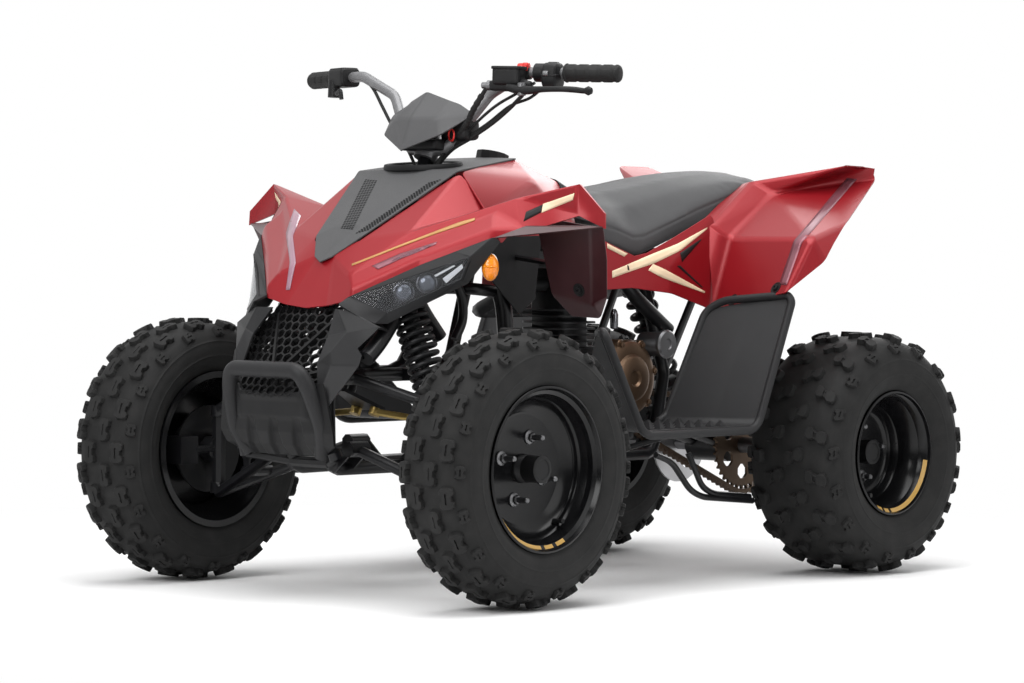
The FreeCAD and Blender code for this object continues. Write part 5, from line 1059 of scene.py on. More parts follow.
def makeIndicator():
    # A dome on an ellipse, ribbed by a cosine, with a raised line across its middle, and the stalk behind
    # it.
    ring, turn = np.linspace(0.03, 1, 14)[:, None], roundTurn(48)[None, :]
    axis, centre = unit(np.array(indicator["axis"])), mm(*indicator["centre"])
    aside = unit(np.cross([0, 0, 1], axis))
    rise = np.cross(axis, aside)
    across, tall = ring * np.cos(turn) * indicator["half"][0], ring * np.sin(turn) * indicator["half"][1]
    high, wide = indicator["line"]
    raised = indicator["rib"] * np.cos(tall * indicator["ribs"]) + high * np.exp(-(tall / wide) ** 2)
    height = indicator["deep"] * np.sqrt(np.clip(1.04 - ring ** 2, 0, 1)) + raised * (1 - ring ** 4)
    grid = centre + across[..., None] * aside + tall[..., None] * rise + height[..., None] * axis
    skirt = [centre + (grid[-1] - centre) * share - axis * back for share, back in indicator["skirt"]]
    hullPair("indicator", np.concatenate([grid, skirt]), "orange", "indicators", ("indicators",), angle=60)
    line = np.linspace(centre - axis * indicator["from"], centre - axis * indicator["to"], 4)
    hullPair("indicator_stalk", tubeGrid(line, indicator["stalk"], 20), "black", "indicators", slot=None)


makeIndicator()
print("front made")

# Handlebar and its controls
visor = {
    "points": {
        "nose": (421, 0, 880), "edge": (393, 77, 903), "wing": (330, 112, 945),
        "notchLow": (328, 70, 966), "notch": (337, 54, 972), "peak": (349, 0, 991), "keel": (399, 0, 936),
        "cheek": (378, 58, 938),
    },
    "faces": [
        "nose edge cheek", "nose cheek keel", "keel cheek notch peak", "edge wing cheek",
        "cheek wing notchLow", "cheek notchLow notch",
    ],
}
sheetPiece("visor_skin", visor, "cowl", "satin", (1, 0, 0.4), ("cowl",), places=mm, wall=0.004,
           crease=0.006)

bar = {"end": (241.3, 420, 1022), "inner": (297.4, 220, 1026)}
barEnd = np.array(bar["end"]) / 1000
barAxis = unit(barEnd - np.array(bar["inner"]) / 1000)
barAhead = unit(np.cross(barAxis, [0, 0, 1]))
barAbove = np.cross(barAhead, barAxis)


def alongBar(distance, ahead=0.0, above=0.0):   # measured inwards from the bar's end
    return barEnd - barAxis * distance + barAhead * ahead + barAbove * above


grip = {"radius": 0.0165, "length": 0.118, "flange": 0.019, "pads": 0.0012, "out": 0.001, "rows": 90,
        "columns": 72}


def makeGrip():
    # A sleeve whose radius carries eight rows of raised pads, with a flange at its inner end.
    along, turn = np.linspace(0, 1, grip["rows"])[:, None], roundTurn(grip["columns"])[None, :]
    pads = np.clip(np.cos(4 * turn) * 4 + 1.5, 0, 1) * np.clip(np.cos(along * 9 * math.pi) * 5 + 3.4, 0, 1)
    pads = pads * step(along - 0.035, 0.004) * step(0.93 - along, 0.004)
    flange = (grip["flange"] - grip["radius"]) * np.exp(-((along - 0.975) / 0.018) ** 4)
    reach = (grip["radius"] + grip["pads"] * pads + flange) * (1 - 0.35 * np.exp(-along / 0.008))
    spots = barEnd + barAxis * grip["out"] - along[..., None] * barAxis * grip["length"]
    ring = np.cos(turn)[..., None] * barAhead + np.sin(turn)[..., None] * barAbove
    hullPair("grip", spots + reach[..., None] * ring, "grip", "grips", ("grips",), angle=40)


makeGrip()


def addBlock(name, centre, half, material, label, power=4.0, stands=(), axis=barAxis, side=1, rows=24,
             columns=48):
    # A rounded block: a superellipse section whose size follows another superellipse along its length.
    across = unit(np.cross(axis, [0, 0, 1]))
    rise = np.cross(across, unit(axis))
    t = np.sin(np.linspace(-1, 1, rows) * math.pi / 2)[:, None]
    turn = roundTurn(columns)[None, :]
    size = np.maximum((1 - np.abs(t) ** (power * 2)) ** (1 / (power * 2)), 0.02)
    c, s = np.cos(turn), np.sin(turn)
    reach = size * (np.abs(c) ** power + np.abs(s) ** power) ** (-1 / power)
    grid = (np.asarray(centre) + (t * half[0])[..., None] * unit(axis) + (reach * c * half[1])[...,
                                                                                               None]
            * across
            + (reach * s * half[2])[..., None] * rise)
    hull(name, grid, material, label, stands, side=side, angle=40)


# Blocks on the bar: place along it, ahead of it and above it, half sizes, finish, node, power
barBlocks = {
    "switch_near": ((0.142, 0.006, -0.006), (0.0165, 0.0245, 0.026), "black", "switch_housings", 3.2),
    "switch_seam": ((0.142, 0.006, -0.006), (0.0178, 0.0250, 0.0035), "black", "switch_housings", 4),
    "switch_rocker": ((0.141, 0.006, 0.0155), (0.010, 0.007, 0.006), "black", "switch_housings", 5),
    "switch_button": ((0.146, 0.031, -0.002), (0.006, 0.004, 0.005), "dull", "switch_housings", 3),
    "reservoir_body": ((0.226, 0.026, -0.008), (0.029, 0.024, 0.0185), "black", "reservoir", 6),
    "reservoir_lid": ((0.226, 0.026, 0.0080), (0.0310, 0.0262, 0.0035), "black", "reservoir", 6),
    "red_switch_foot": ((0.203, 0.002, -0.002), (0.011, 0.010, 0.012), "black", "levers", 4),
    "red_switch": ((0.206, 0.006, 0.0100), (0.0115, 0.010, 0.0085), "redPart", "levers", 3),
    "red_switch_tab": ((0.200, 0.008, 0.0150), (0.006, 0.008, 0.0045), "redPart", "levers", 3),
    "master_cylinder": ((0.222, 0.030, -0.027), (0.047, 0.0115, 0.0115), "black", "levers", 2.5),
    "throttle_box": ((0.134, 0.004, 0.0000), (0.030, 0.023, 0.0200), "black", "switch_housings", 5),
    "throttle_lid": ((0.134, 0.004, 0.0175), (0.0265, 0.020, 0.003), "black", "switch_housings", 5),
}
standsFor = {"switch_near": "switch_housings", "reservoir_body": "reservoir"}
for name, (place, half, material, label, power) in barBlocks.items():
    side = -1 if name.startswith("throttle") else 1   # the throttle is on the right
    addBlock(name, alongBar(*place), half, material, label, power,
             (standsFor[name],) if name in standsFor else (),
             side=side)
visorBlocks = {"visor_stay": ((352, 34, 893), (0.016, 0.003, 0.013), "steel", (0.5, 0.86, 0)),
               "visor_pod": ((326, 26, 914), (0.078, 0.024, 0.022), "black", (0, 1, 0)),
               "visor_bracket": ((350, 0, 884), (0.052, 0.030, 0.012), "black", (0, 1, 0))}
for name, (place, half, material, axis) in visorBlocks.items():
    addBlock(name, mm(*place), half, material, "cowl", 5, axis=axis)

lever = {"line": [(0.222, 0.046, -0.030), (0.200, 0.046, -0.034), (0.172, 0.050, -0.036),
                  (0.140, 0.056, -0.034),
                  (0.100, 0.060, -0.033), (0.070, 0.060, -0.034), (0.048, 0.062, -0.036),
                  (0.036, 0.066, -0.036)],
         "radius": [0.0075, 0.0095, 0.0085, 0.0062, 0.0060, 0.0062, 0.0058, 0.0052], "steps": 60,
         "taper": 0.95}
leverLine = smoothLine([alongBar(*p) for p in lever["line"]], lever["steps"])
leverRadius = smoothLine(np.array(lever["radius"])[:, None], lever["steps"])[:, 0]
leverRadius = leverRadius * np.linspace(1, lever["taper"], lever["steps"])
hull("lever_blade", tubeGrid(leverLine, leverRadius, 16), "black", "levers", ("levers",))
# Turned parts: profile of (height, radius), place, axis, finish, node, slot and count round
turnedParts = {
    "perch_clamp": ([(-0.014, 0.0165), (-0.013, 0.0185), (0.013, 0.0185), (0.014, 0.0165)], alongBar(0.168),
                    barAxis,
                    "black", "levers", "levers", 32),
    "lever_ball": ([(-0.0088, 0.002), (-0.0070, 0.0060), (0, 0.0092), (0.0070, 0.0060), (0.0088, 0.002)],
                   leverLine[-1], barAxis, "black", "levers", "levers", 24),
    "lever_pivot": ([(-0.013, 0.007), (-0.012, 0.0085), (0.012, 0.0085), (0.013, 0.006)],
                    alongBar(0.190, 0.046, -0.034), (0, 0, 1), "dull", "levers", None, 24),
    "banjo_bolt": ([(-0.004, 0.010), (0.004, 0.010), (0.006, 0.0065), (0.016, 0.0065), (0.017, 0.005)],
                   alongBar(0.268, 0.030, -0.027), -barAxis, "dull", "levers", None, 24),
    "key_lock": ([(0, 0.010), (0.012, 0.0105), (0.013, 0.008)], mm(312, 55, 902), (0.75, 0.66, 0), "dull",
                 "cowl",
                 None, 24),
}
for name, (profile, place, axis, material, label, slot, count) in turnedParts.items():
    hull(name, turnedGrid(profile, place, axis, count), material, label, slot=slot)
throttle = {"throttle_barrel": ([(0.120, 0.018, -0.004), (0.120, 0.020, -0.040)], 0.0125),
            "thumb_lever": ([(0.128, 0.020, -0.028), (0.150, 0.030, -0.034), (0.172, 0.034, -0.026),
                             (0.176, 0.034, -0.046)], 0.0045)}
for name, (path, radius) in throttle.items():
    line = rounded([alongBar(*p) for p in path], 0.008) * [1, -1, 1]
    hull(name, tubeGrid(line, radius, 18), "black", "switch_housings")
keyRing = {"centre": (354, 72, 903), "radius": 0.0115, "wire": 0.0018, "lean": (0.35, 0.94), "steps": 32}
turn = roundTurn(keyRing["steps"])[:, None]
lean, tilt = keyRing["lean"]
ring = np.hstack([lean * np.cos(turn), tilt * np.cos(turn), np.sin(turn)]) * keyRing["radius"]
grid = tubeGrid(mm(*keyRing["centre"]) + ring, keyRing["wire"], 10)
addPiece("key_ring", grid, gridFaces(*grid.shape[:2], True, True), "redPart", "cowl", slot=None)

# Cables, held at both ends, from the controls along the bar's risers down beside the stem: the first place
# along the bar, then places in millimetres from the middle of the wheelbase, and the radius
cables = {
    "brake_hose": ((0.274, 0.030, -0.030), [(352, 128, 952), (348, 108, 925), (344, 78, 900),
                                            (346, 52, 876),
                                            (350, 36, 850), (352, 30, 836)], 0.0042),
    "lever_cable": ((0.196, 0.030, -0.046), [(318, 190, 952), (322, 150, 925), (330, 104, 898),
                                             (338, 62, 876),
                                             (346, 38, 852), (350, 26, 836)], 0.0040),
    "switch_lead": ((0.160, 0.004, -0.026), [(300, 232, 976), (312, 190, 960), (322, 140, 926),
                                             (332, 90, 896),
                                             (344, 46, 862), (350, 20, 836)], 0.0030),
    "choke_cable": ((0.182, 0.004, -0.020), [(312, 206, 984), (326, 168, 962), (334, 130, 934),
                                             (336, 90, 902),
                                             (346, 40, 862), (348, 14, 836)], 0.0030),
    "throttle_cable": ((0.150, 0.006, 0.008), [(300, -226, 1020), (308, -190, 1002), (320, -150, 962),
                                               (332, -110, 922), (344, -60, 880), (352, -24, 836)], 0.0034),
}
cableSteps = 70
sleeve = {"from": 4, "to": 32, "radius": 0.0060, "wave": 0.0007, "turns": 2.1}


def cableLine(name):
    first, points, radius = cables[name]
    side = [1, np.sign(points[0][1]), 1]
    return smoothLine([alongBar(*first) * side] + [mm(*p) for p in points], cableSteps)


for name, (first, points, radius) in cables.items():
    hull(name, tubeGrid(cableLine(name), radius, 12), "grip", "handlebar", slot=None)
guarded = cableLine("brake_hose")[sleeve["from"]:sleeve["to"]]
waves = sleeve["radius"] + sleeve["wave"] * np.sin(np.arange(len(guarded)) * sleeve["turns"])
hull("hose_guard", tubeGrid(guarded, waves, 14), "grip", "handlebar", slot=None)
print("controls made")

# Seat: a crowned closed form, inflated as cloth. A section is its place, half width, bottom and crown, as
# shares.
seat = {"sections": [(-0.010, 0.300, 0.692, 0.768), (-0.060, 0.322, 0.677, 0.786),
                     (-0.104, 0.326, 0.662, 0.792),
                     (-0.135, 0.326, 0.664, 0.797), (-0.210, 0.320, 0.690, 0.808),
                     (-0.300, 0.314, 0.722, 0.824),
                     (-0.420, 0.302, 0.758, 0.838), (-0.490, 0.275, 0.784, 0.838),
                     (-0.520, 0.220, 0.800, 0.829)],
        "band": 0.046, "bandShare": 0.62, "steps": 48, "shrink": (0.993, 0.985, 0.97), "voxel": 0.006,
        "pressure": 4, "stiffness": 60, "mass": 0.3, "quality": 6, "frames": 20, "most": 0.005,
        "smooth": 12,
        "stitch": 0.0016, "seamShare": 0.86, "seam": 0.003}


def seatForm():
    # Closed sections from the tank to the tail: a crowned top down to a crease, an upright side band, a
    # flat base.
    rings = []
    for x, wide, bottom, crown in seat["sections"]:
        band = min(seat["band"], (crown - bottom) * seat["bandShare"])
        crease = bottom + band
        half = [(0.0, crown + 0.003), (wide * 0.40, crown), (wide * 0.72, crown * 0.6 + crease * 0.4),
                (wide * 0.94, crease + 0.010), (wide, crease - 0.004), (wide * 0.99, bottom + band * 0.25),
                (wide * 0.93, bottom), (0.0, bottom)]
        rings.append([at(x, y, z) for y, z in half] + [at(x, -y, z) for y, z in half[-2:0:-1]])
    grid = np.array(rings)
    return np.stack([smoothLine(grid[:, k], seat["steps"]) for k in range(grid.shape[1])], axis=1)


def applied(piece):   # the piece's modifiers, written into its mesh
    shape = bpy.data.meshes.new_from_object(piece.evaluated_get(bpy.context.evaluated_depsgraph_get()))
    piece.modifiers.clear()
    old, piece.data = piece.data, shape
    bpy.data.meshes.remove(old)


def meshPlaces(piece, what="co"):
    flat = np.empty(len(piece.data.vertices) * 3)
    piece.data.vertices.foreach_get(what, flat)
    return flat.reshape(-1, 3)


def setPoints(piece, points):
    piece.data.vertices.foreach_set("co", np.asarray(points, float).ravel())
    piece.data.update()


def inflate(piece):
    # Cloth under pressure, held at its base; no point moves farther than the most allowed.
    start, scene = meshPlaces(piece), bpy.context.scene
    cloth = piece.modifiers.new("padding", "CLOTH")
    settings = cloth.settings
    settings.use_pressure, settings.uniform_pressure_force = True, seat["pressure"]
    settings.effector_weights.gravity = 0
    settings.tension_stiffness = settings.compression_stiffness = seat["stiffness"]
    settings.mass, settings.quality = seat["mass"], seat["quality"]
    cloth.point_cache.frame_start, cloth.point_cache.frame_end = 1, seat["frames"]
    group = piece.vertex_groups.new(name="base")
    low = np.flatnonzero(meshPlaces(piece, "normal")[:, 2] < -0.75)
    group.add(low.tolist(), 1.0, "REPLACE")
    settings.vertex_group_mass = "base"
    for number in range(1, seat["frames"] + 1):
        scene.frame_set(number)
    applied(piece)
    moved = meshPlaces(piece) - start
    length = np.linalg.norm(moved, axis=1, keepdims=True)
    setPoints(piece, start + moved * np.minimum(1, seat["most"] / np.maximum(length, 1e-9)))
    scene.frame_set(1)


def sewSeat(piece):
    # A seam pressed in along the shoulder: a narrow groove where the height passes a share of the side
    # band.
    p, n = meshPlaces(piece), meshPlaces(piece, "normal")
    table = np.array(seat["sections"])[::-1]
    low, high = (np.interp(p[:, 0] / wheelbase, table[:, 0], table[:, k]) for k in (2, 3))
    band = np.minimum(seat["band"], (high - low) * seat["bandShare"])
    seam = p[:, 2] - low - band * seat["seamShare"]
    groove = np.exp(-(seam / seat["seam"]) ** 2) * (np.abs(n[:, 2]) < 0.85)
    setPoints(piece, p - n * (seat["stitch"] * groove)[:, None])


def makeSeat():
    grid = seatForm()
    centre = grid.reshape(-1, 3).mean(axis=0)
    points = centre + (grid - centre) * seat["shrink"]
    piece = hull("seat_pad", points, "seat", "seat", ("seat",), angle=180)
    remesh = piece.modifiers.new("even", "REMESH")
    remesh.mode, remesh.voxel_size = "VOXEL", seat["voxel"]
    applied(piece)
    inflate(piece)
    smooth = piece.modifiers.new("smooth", "SMOOTH")
    smooth.factor, smooth.iterations = 0.5, seat["smooth"]
    finer = piece.modifiers.new("finer", "SUBSURF")
    finer.levels = finer.render_levels = 1
    applied(piece)
    sewSeat(piece)
    piece.data.polygons.foreach_set("use_smooth", np.ones(len(piece.data.polygons), bool))


makeSeat()
print("seat made")

# Footboards: a rolled rim and cleats
footRim = {"line": [(0.186, 0.690, 0.515), (0.216, 0.775, 0.520), (0.144, 0.838, 0.322),
                    (0.120, 0.834, 0.312),
                    (-0.164, 0.834, 0.312), (-0.185, 0.832, 0.328), (-0.277, 0.832, 0.572),
                    (-0.277, 0.812, 0.586),
                    (-0.250, 0.520, 0.572), (-0.236, 0.452, 0.550), (-0.132, 0.440, 0.335),
                    (-0.112, 0.436, 0.324)],
           "radius": 0.0085, "bend": 0.045}
cleats = {"x": (-0.105, 0.120, 9), "y": (0.555, 0.665, 0.775), "floor": 0.3225, "half": 0.0085,
          "tall": 0.011,
          "top": 0.15}
rimLine = rounded([at(*p) for p in footRim["line"]], footRim["bend"], 8)
hullPair("foot_rim", tubeGrid(rimLine, footRim["radius"], 14, ref=(0, 0, 1)), "grey", "footboards")
square = np.array([[-1, -1, 0], [1, -1, 0], [1, 1, 0], [-1, 1, 0]]) * cleats["half"]
cleat = np.stack([square, square * cleats["top"] + [0, 0, cleats["tall"]]])
spots = [at(x, y, cleats["floor"]) for y in cleats["y"] for x in np.linspace(*cleats["x"])]
points, faces = joinHulls([cleat + spot for spot in spots])
bothSides("foot_cleats", points, faces, "grey", "footboards")

# Shock absorbers: damper, collars and a round wire coil between two shares of the length
shocks = {"front": {"top": (0.490, 0.290, 0.585), "foot": (0.4735, 0.526, 0.257), "coil": 0.036,
                    "wire": 0.0052,
                    "eye": 0.0075, "turns": 12.5, "from": 0.06, "to": 0.62},
          "rear": {"top": (-0.2546, 0.0, 0.640), "foot": (-0.3991, 0.0, 0.318), "coil": 0.034,
                   "wire": 0.0060,
                   "eye": 0.0145, "turns": 8.5, "from": 0.09, "to": 0.76}}
eyeProfile = [(-0.014, 0.006), (-0.014, 0.0105), (-0.012, 0.0115), (0.012, 0.0115), (0.014, 0.0105),
              (0.014, 0.006)]
coilSteps = 30   # to a turn


def coil(top, foot, spec):
    # A helix about the damper: cosine and sine round its axis while the height runs on.
    axis = unit(foot - top)
    side = unit(np.cross(axis, [1, 0.2, 0.1]))
    t = np.linspace(0, 1, int(spec["turns"] * coilSteps))[:, None]
    height = (spec["from"] + (spec["to"] - spec["from"]) * t) * np.linalg.norm(foot - top)
    angle = wholeTurn * spec["turns"] * t
    reach = spec["coil"] - spec["wire"]
    return top + axis * height + reach * (np.cos(angle) * side + np.sin(angle) * np.cross(axis, side))


def damperProfile(spec, length):
    # From the upper end: a rod, the upper collar, the body, a thin rod, the lower collar and the fork.
    f, t, wide, eye = spec["from"] * length, spec["to"] * length, spec["coil"], spec["eye"]
    upper = [(-0.002, 0.009), (f - 0.012, 0.011), (f - 0.010, wide * 0.92), (f - 0.006, wide + 0.002),
             (f - 0.003, wide + 0.002), (f - 0.002, 0.017)]
    lower = [(t + 0.002, 0.0085), (t + 0.003, wide + 0.001), (t + 0.007, wide + 0.001), (t + 0.010, 0.014),
             (t + 0.020, eye), (length - 0.012, eye), (length, 0.007)]
    return upper + [(t * 0.62, 0.0165), (t * 0.62, 0.0085)] + lower


def makeShock(word, kind, side, label, stands=()):
    spec = shocks[kind]
    top, foot = at(*spec["top"]), at(*spec["foot"])
    profile = damperProfile(spec, np.linalg.norm(foot - top))
    hull(word + "_spring", tubeGrid(coil(top, foot, spec), spec["wire"], 10), "engine", label, stands,
         side=side)
    hull(word + "_damper", turnedGrid(profile, top, foot - top, 36), "frame", label, side=side)
    for end, place in (("top", top), ("foot", foot)):
        hull(f"{word}_eye_{end}", turnedGrid(eyeProfile, place, [1, 0, 0], 28), "frame", label, side=side)


makeShock("front_shock_left", "front", 1, "front_shocks", ("front_shocks",))
makeShock("front_shock_right", "front", -1, "front_shocks")
makeShock("rear_shock_middle", "rear", 1, "rear_shock", ("rear_shock",))
print("footboards and shocks made")


# Stripes, plates and painted reflections: outlines in the photograph, carried along its lines of sight onto
# the skins
flatLimit, edgeMargin = 1e-14, 1e-6   # a triangle seen edge on, and the slack at a triangle's edge


def castOn(piece, pixels):
    # Where lines of sight first meet a piece: for every line and triangle the crossing's distance and its
    # two edge shares. Gives the places, the normals that face the camera, which lines hit, and the lines.
    lines = sightLines(pixels).reshape(-1, 3)
    shape = piece.evaluated_get(bpy.context.evaluated_depsgraph_get()).to_mesh()
    shape.calc_loop_triangles()
    corners = np.empty(len(shape.loop_triangles) * 3, int)
    shape.loop_triangles.foreach_get("vertices", corners)
    place = np.empty(len(shape.vertices) * 3)
    shape.vertices.foreach_get("co", place)
    a, b, c = np.moveaxis(place.reshape(-1, 3)[corners.reshape(-1, 3)], 1, 0)
    eye, first, second = np.array(view["place"]), b - a, c - a
    across = np.cross(lines[:, None, :], second[None])
    size = np.einsum("nmk,mk->nm", across, first)
    size = np.where(np.abs(size) < flatLimit, flatLimit, size)
    turned = np.cross(eye - a, first)
    u, v = np.einsum("nmk,mk->nm", across, eye - a) / size, np.einsum("nk,mk->nm", lines, turned) / size
    far = np.einsum("mk,mk->m", turned, second)[None] / size
    inside = (u > -edgeMargin) & (v > -edgeMargin) & (u + v < 1 + edgeMargin) & (far > 0)
    far = np.where(inside, far, np.inf)
    near = far.argmin(axis=1)
    distance = far[np.arange(len(lines)), near]
    normals = unit(np.cross(first, second))[near]
    normals = normals * np.where((normals * lines).sum(axis=1) > 0, -1, 1)[:, None]
    return eye + lines * distance[:, None], normals, np.isfinite(distance), lines


film = {"rows": 28, "columns": 3, "lift": 0.0009, "wall": 0.0007}
skinNodes = {"fairing": "front_fairing", "side": "side_panels", "rear": "rear_fender", "hood": "hood_cover",
             "flap": "front_flaps"}
stripesAndPaintedReflections = {   # skin, finish, one edge, the other edge, whether both sides carry it
    "cream_plate": ("fairing", "cream", [(543, 204), (574.5, 193)], [(541.5, 213), (573, 200)], True),
    "name_plate": ("fairing", "black", [(526, 212), (543, 204.5)], [(523.5, 221.5), (541, 212.5)], True),
    "gold_line": ("fairing", "gold", [(352, 264), (375, 255), (400, 245), (440, 229.5), (460, 222),
                                      (475, 218)],
                  [(352, 266), (375, 257), (400, 247.2), (440, 232.5), (460, 226), (475, 220.5)], False),
    # painted reflection: a paler plum wedge in the band under the gold line, where the paint mirrors the
    # white surroundings
    "plum_painted_reflection": ("fairing", "plum", [(372, 266), (400, 254), (437, 242)],
                    [(378, 269.5), (402, 258.5), (436, 244.5)],
                    False),
    # painted highlight: a lilac streak along the band's crown
    "lilac_stroke": ("fairing", "lilac", [(392, 260), (412, 251.5), (431, 245)],
                     [(393, 261.5), (413, 254.2), (431, 246.5)], False),
    # painted reflection: lilac along the far fender's edge, where the paint mirrors the white surroundings
    "lilac_painted_reflection": ("fairing", "lilac", [(294, 209), (286, 234), (290, 262), (286, 290)],
                     [(301, 216), (293, 236), (296, 262), (290, 290)], False),
    "side_long_front": ("side", "cream", [(607, 241), (629, 252.2)], [(607, 248), (624, 256.6)], True),
    "side_long_rear": ("side", "cream", [(653, 264), (666, 270), (705, 291.5)],
                       [(648, 270.2), (663, 278), (704, 293)],
                       True),
    "side_cross": ("side", "cream", [(707, 227.5), (677, 244), (652, 254), (612, 271)],
                   [(707, 229), (680, 251), (655, 263), (612, 278)], True),
    "side_dark": ("side", "black", [(701, 239), (680, 253)], [(701, 240), (682, 262)], True),
    "side_dark_low": ("side", "black", [(677, 266), (702, 288)], [(680, 265.5), (702.5, 287)], True),
    # painted reflection: a plum band down the rear fender's side, where the paint mirrors the white
    # surroundings
    "rear_painted_reflection": ("rear", "plum", [(857, 179), (802, 243), (787, 285)],
                  [(847, 178), (794, 241), (779, 285)], True),
}


def edgeLine(line, t):   # places along a broken line of pixels, with even shares for its stretches
    line = np.array(line, float)
    reach = np.linspace(0, 1, len(line))
    return np.stack([np.interp(t, reach, line[:, k]) for k in range(2)], axis=-1)


def filmOnSkin(name, skin, material, first, second, both):
    # A thin film between two lines of the photograph, laid on a skin and closed by its own thickness.
    rows, columns = film["rows"] + 1, film["columns"] + 1
    t, s = np.linspace(0, 1, rows), np.linspace(0, 1, columns)[None, :, None]
    pixels = edgeLine(first, t)[:, None] * (1 - s) + edgeLine(second, t)[:, None] * s
    places, normals, hit, lines = castOn(skins[skin], pixels)
    faces = [f for f in gridFaces(rows, columns) if hit[f].all()]
    used = sorted({i for f in faces for i in f})
    faces = [[used.index(i) for i in f] for f in faces]
    top = (places + normals * film["lift"])[used]
    a, b, c = top[faces[0][:3]]
    if np.cross(b - a, c - a) @ lines[used][faces[0][0]] > 0:
        faces = [f[::-1] for f in faces]
    for word, side in (hands.items() if both else (("one", 1),)):
        sheet = faces if side == 1 else [f[::-1] for f in faces]
        piece = addPiece(f"{name}_{word}", top, sheet, material, skinNodes[skin], side=side, recalc=False,
                         angle=60)
        thick = piece.modifiers.new("film", "SOLIDIFY")
        thick.thickness, thick.offset = film["wall"], -1


for name, filmRow in stripesAndPaintedReflections.items():
    filmOnSkin(name, *filmRow)

# The hood's two bands of small slots, near-black patches that paint the shade in their hollows: a band's
# first pixel, its steps down its length and across it
vents = {"rows": 30, "columns": 5, "bands": [((429, 183), (-72, 50), (11, -3)),
                                             ((366, 180), (-24, 48), (10, 1))],
         "ring": [(-1, -0.45), (1, -0.45), (1, 0.45), (-1, 0.45)], "half": 0.0024,
         "lifts": (0.0007, -0.0004)}


def makeVents():
    t, s = np.meshgrid(np.linspace(0, 1, vents["rows"]), np.arange(vents["columns"]) / 4, indexing="ij")
    bands = [np.array(start) + t[..., None] * down + s[..., None] * over for start, down,
             over in vents["bands"]]
    places, normals, hit, lines = castOn(skins["hood"], np.stack(bands, axis=-2))
    places, normals = places[hit][:, None], normals[hit][:, None]
    along = unit(np.cross(normals, [1.0, 0, 0]))
    ahead = np.cross(along, normals)
    ring = np.array(vents["ring"])[None] * vents["half"]
    rings = [places + normals * lift + along * ring[..., :1] + ahead * ring[..., 1:]
             for lift in vents["lifts"]]
    points, faces = joinHulls(np.stack(rings, axis=1))
    addPiece("hood_vents", points, faces, "pan", "hood_cover")


makeVents()
print("stripes laid")

# Under the seat: engine covers, a fuel filter, a diagonal member and the footboards' hangers. Profiles are
# (height, radius).
covers = {
    "clutch_cover": ([(-0.030, 0.078), (0.010, 0.080), (0.018, 0.076), (0.022, 0.066), (0.022, 0.050),
                      (0.030, 0.046),
                      (0.033, 0.040), (0.033, 0.018), (0.028, 0.014), (0.028, 0.004)], (-116, 128, 411),
                     (0, 1, 0), 56,
                     "bronze"),
    "round_cover": ([(-0.050, 0.024), (0.0, 0.026), (0.006, 0.030), (0.014, 0.030), (0.018, 0.026),
                     (0.018, 0.012),
                     (0.015, 0.010), (0.015, 0.002)], (-211, 150, 480), (0, 1, 0), 44, "dull"),
    "fuel_filter": ([(0, 0.004), (0.002, 0.008), (0.010, 0.0085), (0.030, 0.0085), (0.038, 0.006),
                     (0.042, 0.003)],
                    (-88, 124, 512), (0, 0, 1), 24, "mirror"),
}
ears = {"count": 7, "phase": 0.3, "radius": 76, "centre": (-116, 134, 411),
        "profile": [(-0.012, 0.011), (0.010, 0.011), (0.012, 0.0095), (0.012, 0.006), (0.017, 0.0055),
                    (0.018, 0.001)]}


def addCover(name):
    profile, place, axis, count, material = covers[name]
    hull(name, turnedGrid(profile, mm(*place), axis, count), material, "engine_block")


addCover("clutch_cover")
turns = wholeTurn * (np.arange(ears["count"]) + ears["phase"]) / ears["count"]
spots = [np.array([math.cos(turn), 0, math.sin(turn)]) * ears["radius"] + ears["centre"] for turn in turns]
points, faces = joinHulls([turnedGrid(ears["profile"], mm(*spot), [0, 1, 0], 20) for spot in spots])
addPiece("clutch_ears", points, faces, "bronze", "engine_block")
addCover("round_cover")
strut = {"line": [(-124, 118, 612), (-160, 120, 578), (-267, 120, 507)], "radius": 0.015, "steps": 30}
strutLine = smoothLine([mm(*p) for p in strut["line"]], strut["steps"])
hull("seat_strut", tubeGrid(strutLine, strut["radius"], 20), "frame", "frame_middle")
addCover("fuel_filter")
hangers = {"front": [(-15, 300, 263), (-66, 300, 247), (-125, 300, 187), (-164, 300, 171),
                     (-330, 300, 156)],
           "rear": [(-130, 290, 262), (-140, 300, 230), (-163, 300, 192), (-200, 300, 176),
                    (-320, 300, 165)]}
hangerRadius, hangerBend = 0.0065, 0.02
for name, line in hangers.items():
    path = rounded([mm(*p) for p in line], hangerBend)
    hullPair("hanger_" + name, tubeGrid(path, hangerRadius, 12), "frame", "footboards")
print("engine covers and hangers made")

# Round the front: members behind the lamps, a liner inside the fenders in near black that paints the shade
# there, and the black end of the tank cover
members = {"strut": ([(600, 150, 542), (648, 160, 500), (690, 165, 468)], 0.0165),
           "post": ([(548, 150, 600), (524, 158, 556), (484, 165, 505)], 0.0150),
           "bend": ([(430, 130, 640), (408, 150, 590), (404, 152, 540), (424, 150, 500)], 0.0095),
           "cross": ([(390, 0, 598), (385, 140, 600), (300, 155, 592), (200, 150, 583)], 0.0120),
           "drop": ([(306, 160, 600), (298, 165, 560), (290, 165, 500)], 0.0170)}
for name, (line, radius) in members.items():
    hullPair("front_" + name, tubeGrid(smoothLine([mm(*p) for p in line], 24), radius, 20), "frame",
             "frame_middle")
shadeLiner = {
    "points": {
        "high": (0.350, 0.400, 0.700), "low": (0.338, 0.400, 0.632), "deep": (0.292, 0.395, 0.590),
        "foot": (0.245, 0.392, 0.548), "rearFoot": (0.205, 0.392, 0.580),
        "rearHigh": (0.190, 0.396, 0.705),
    },
    "faces": [
        "high low deep rearHigh", "deep foot rearFoot rearHigh",
    ],
}
fold = {"points": {"corner": (0.317, 0.968, 0.722), "outer": (0.386, 0.702, 0.722),
                   "middle": (0.432, 0.632, 0.699),
                   "back": (0.312, 0.800, 0.724)},
        "faces": ["corner outer middle", "corner back outer"]}
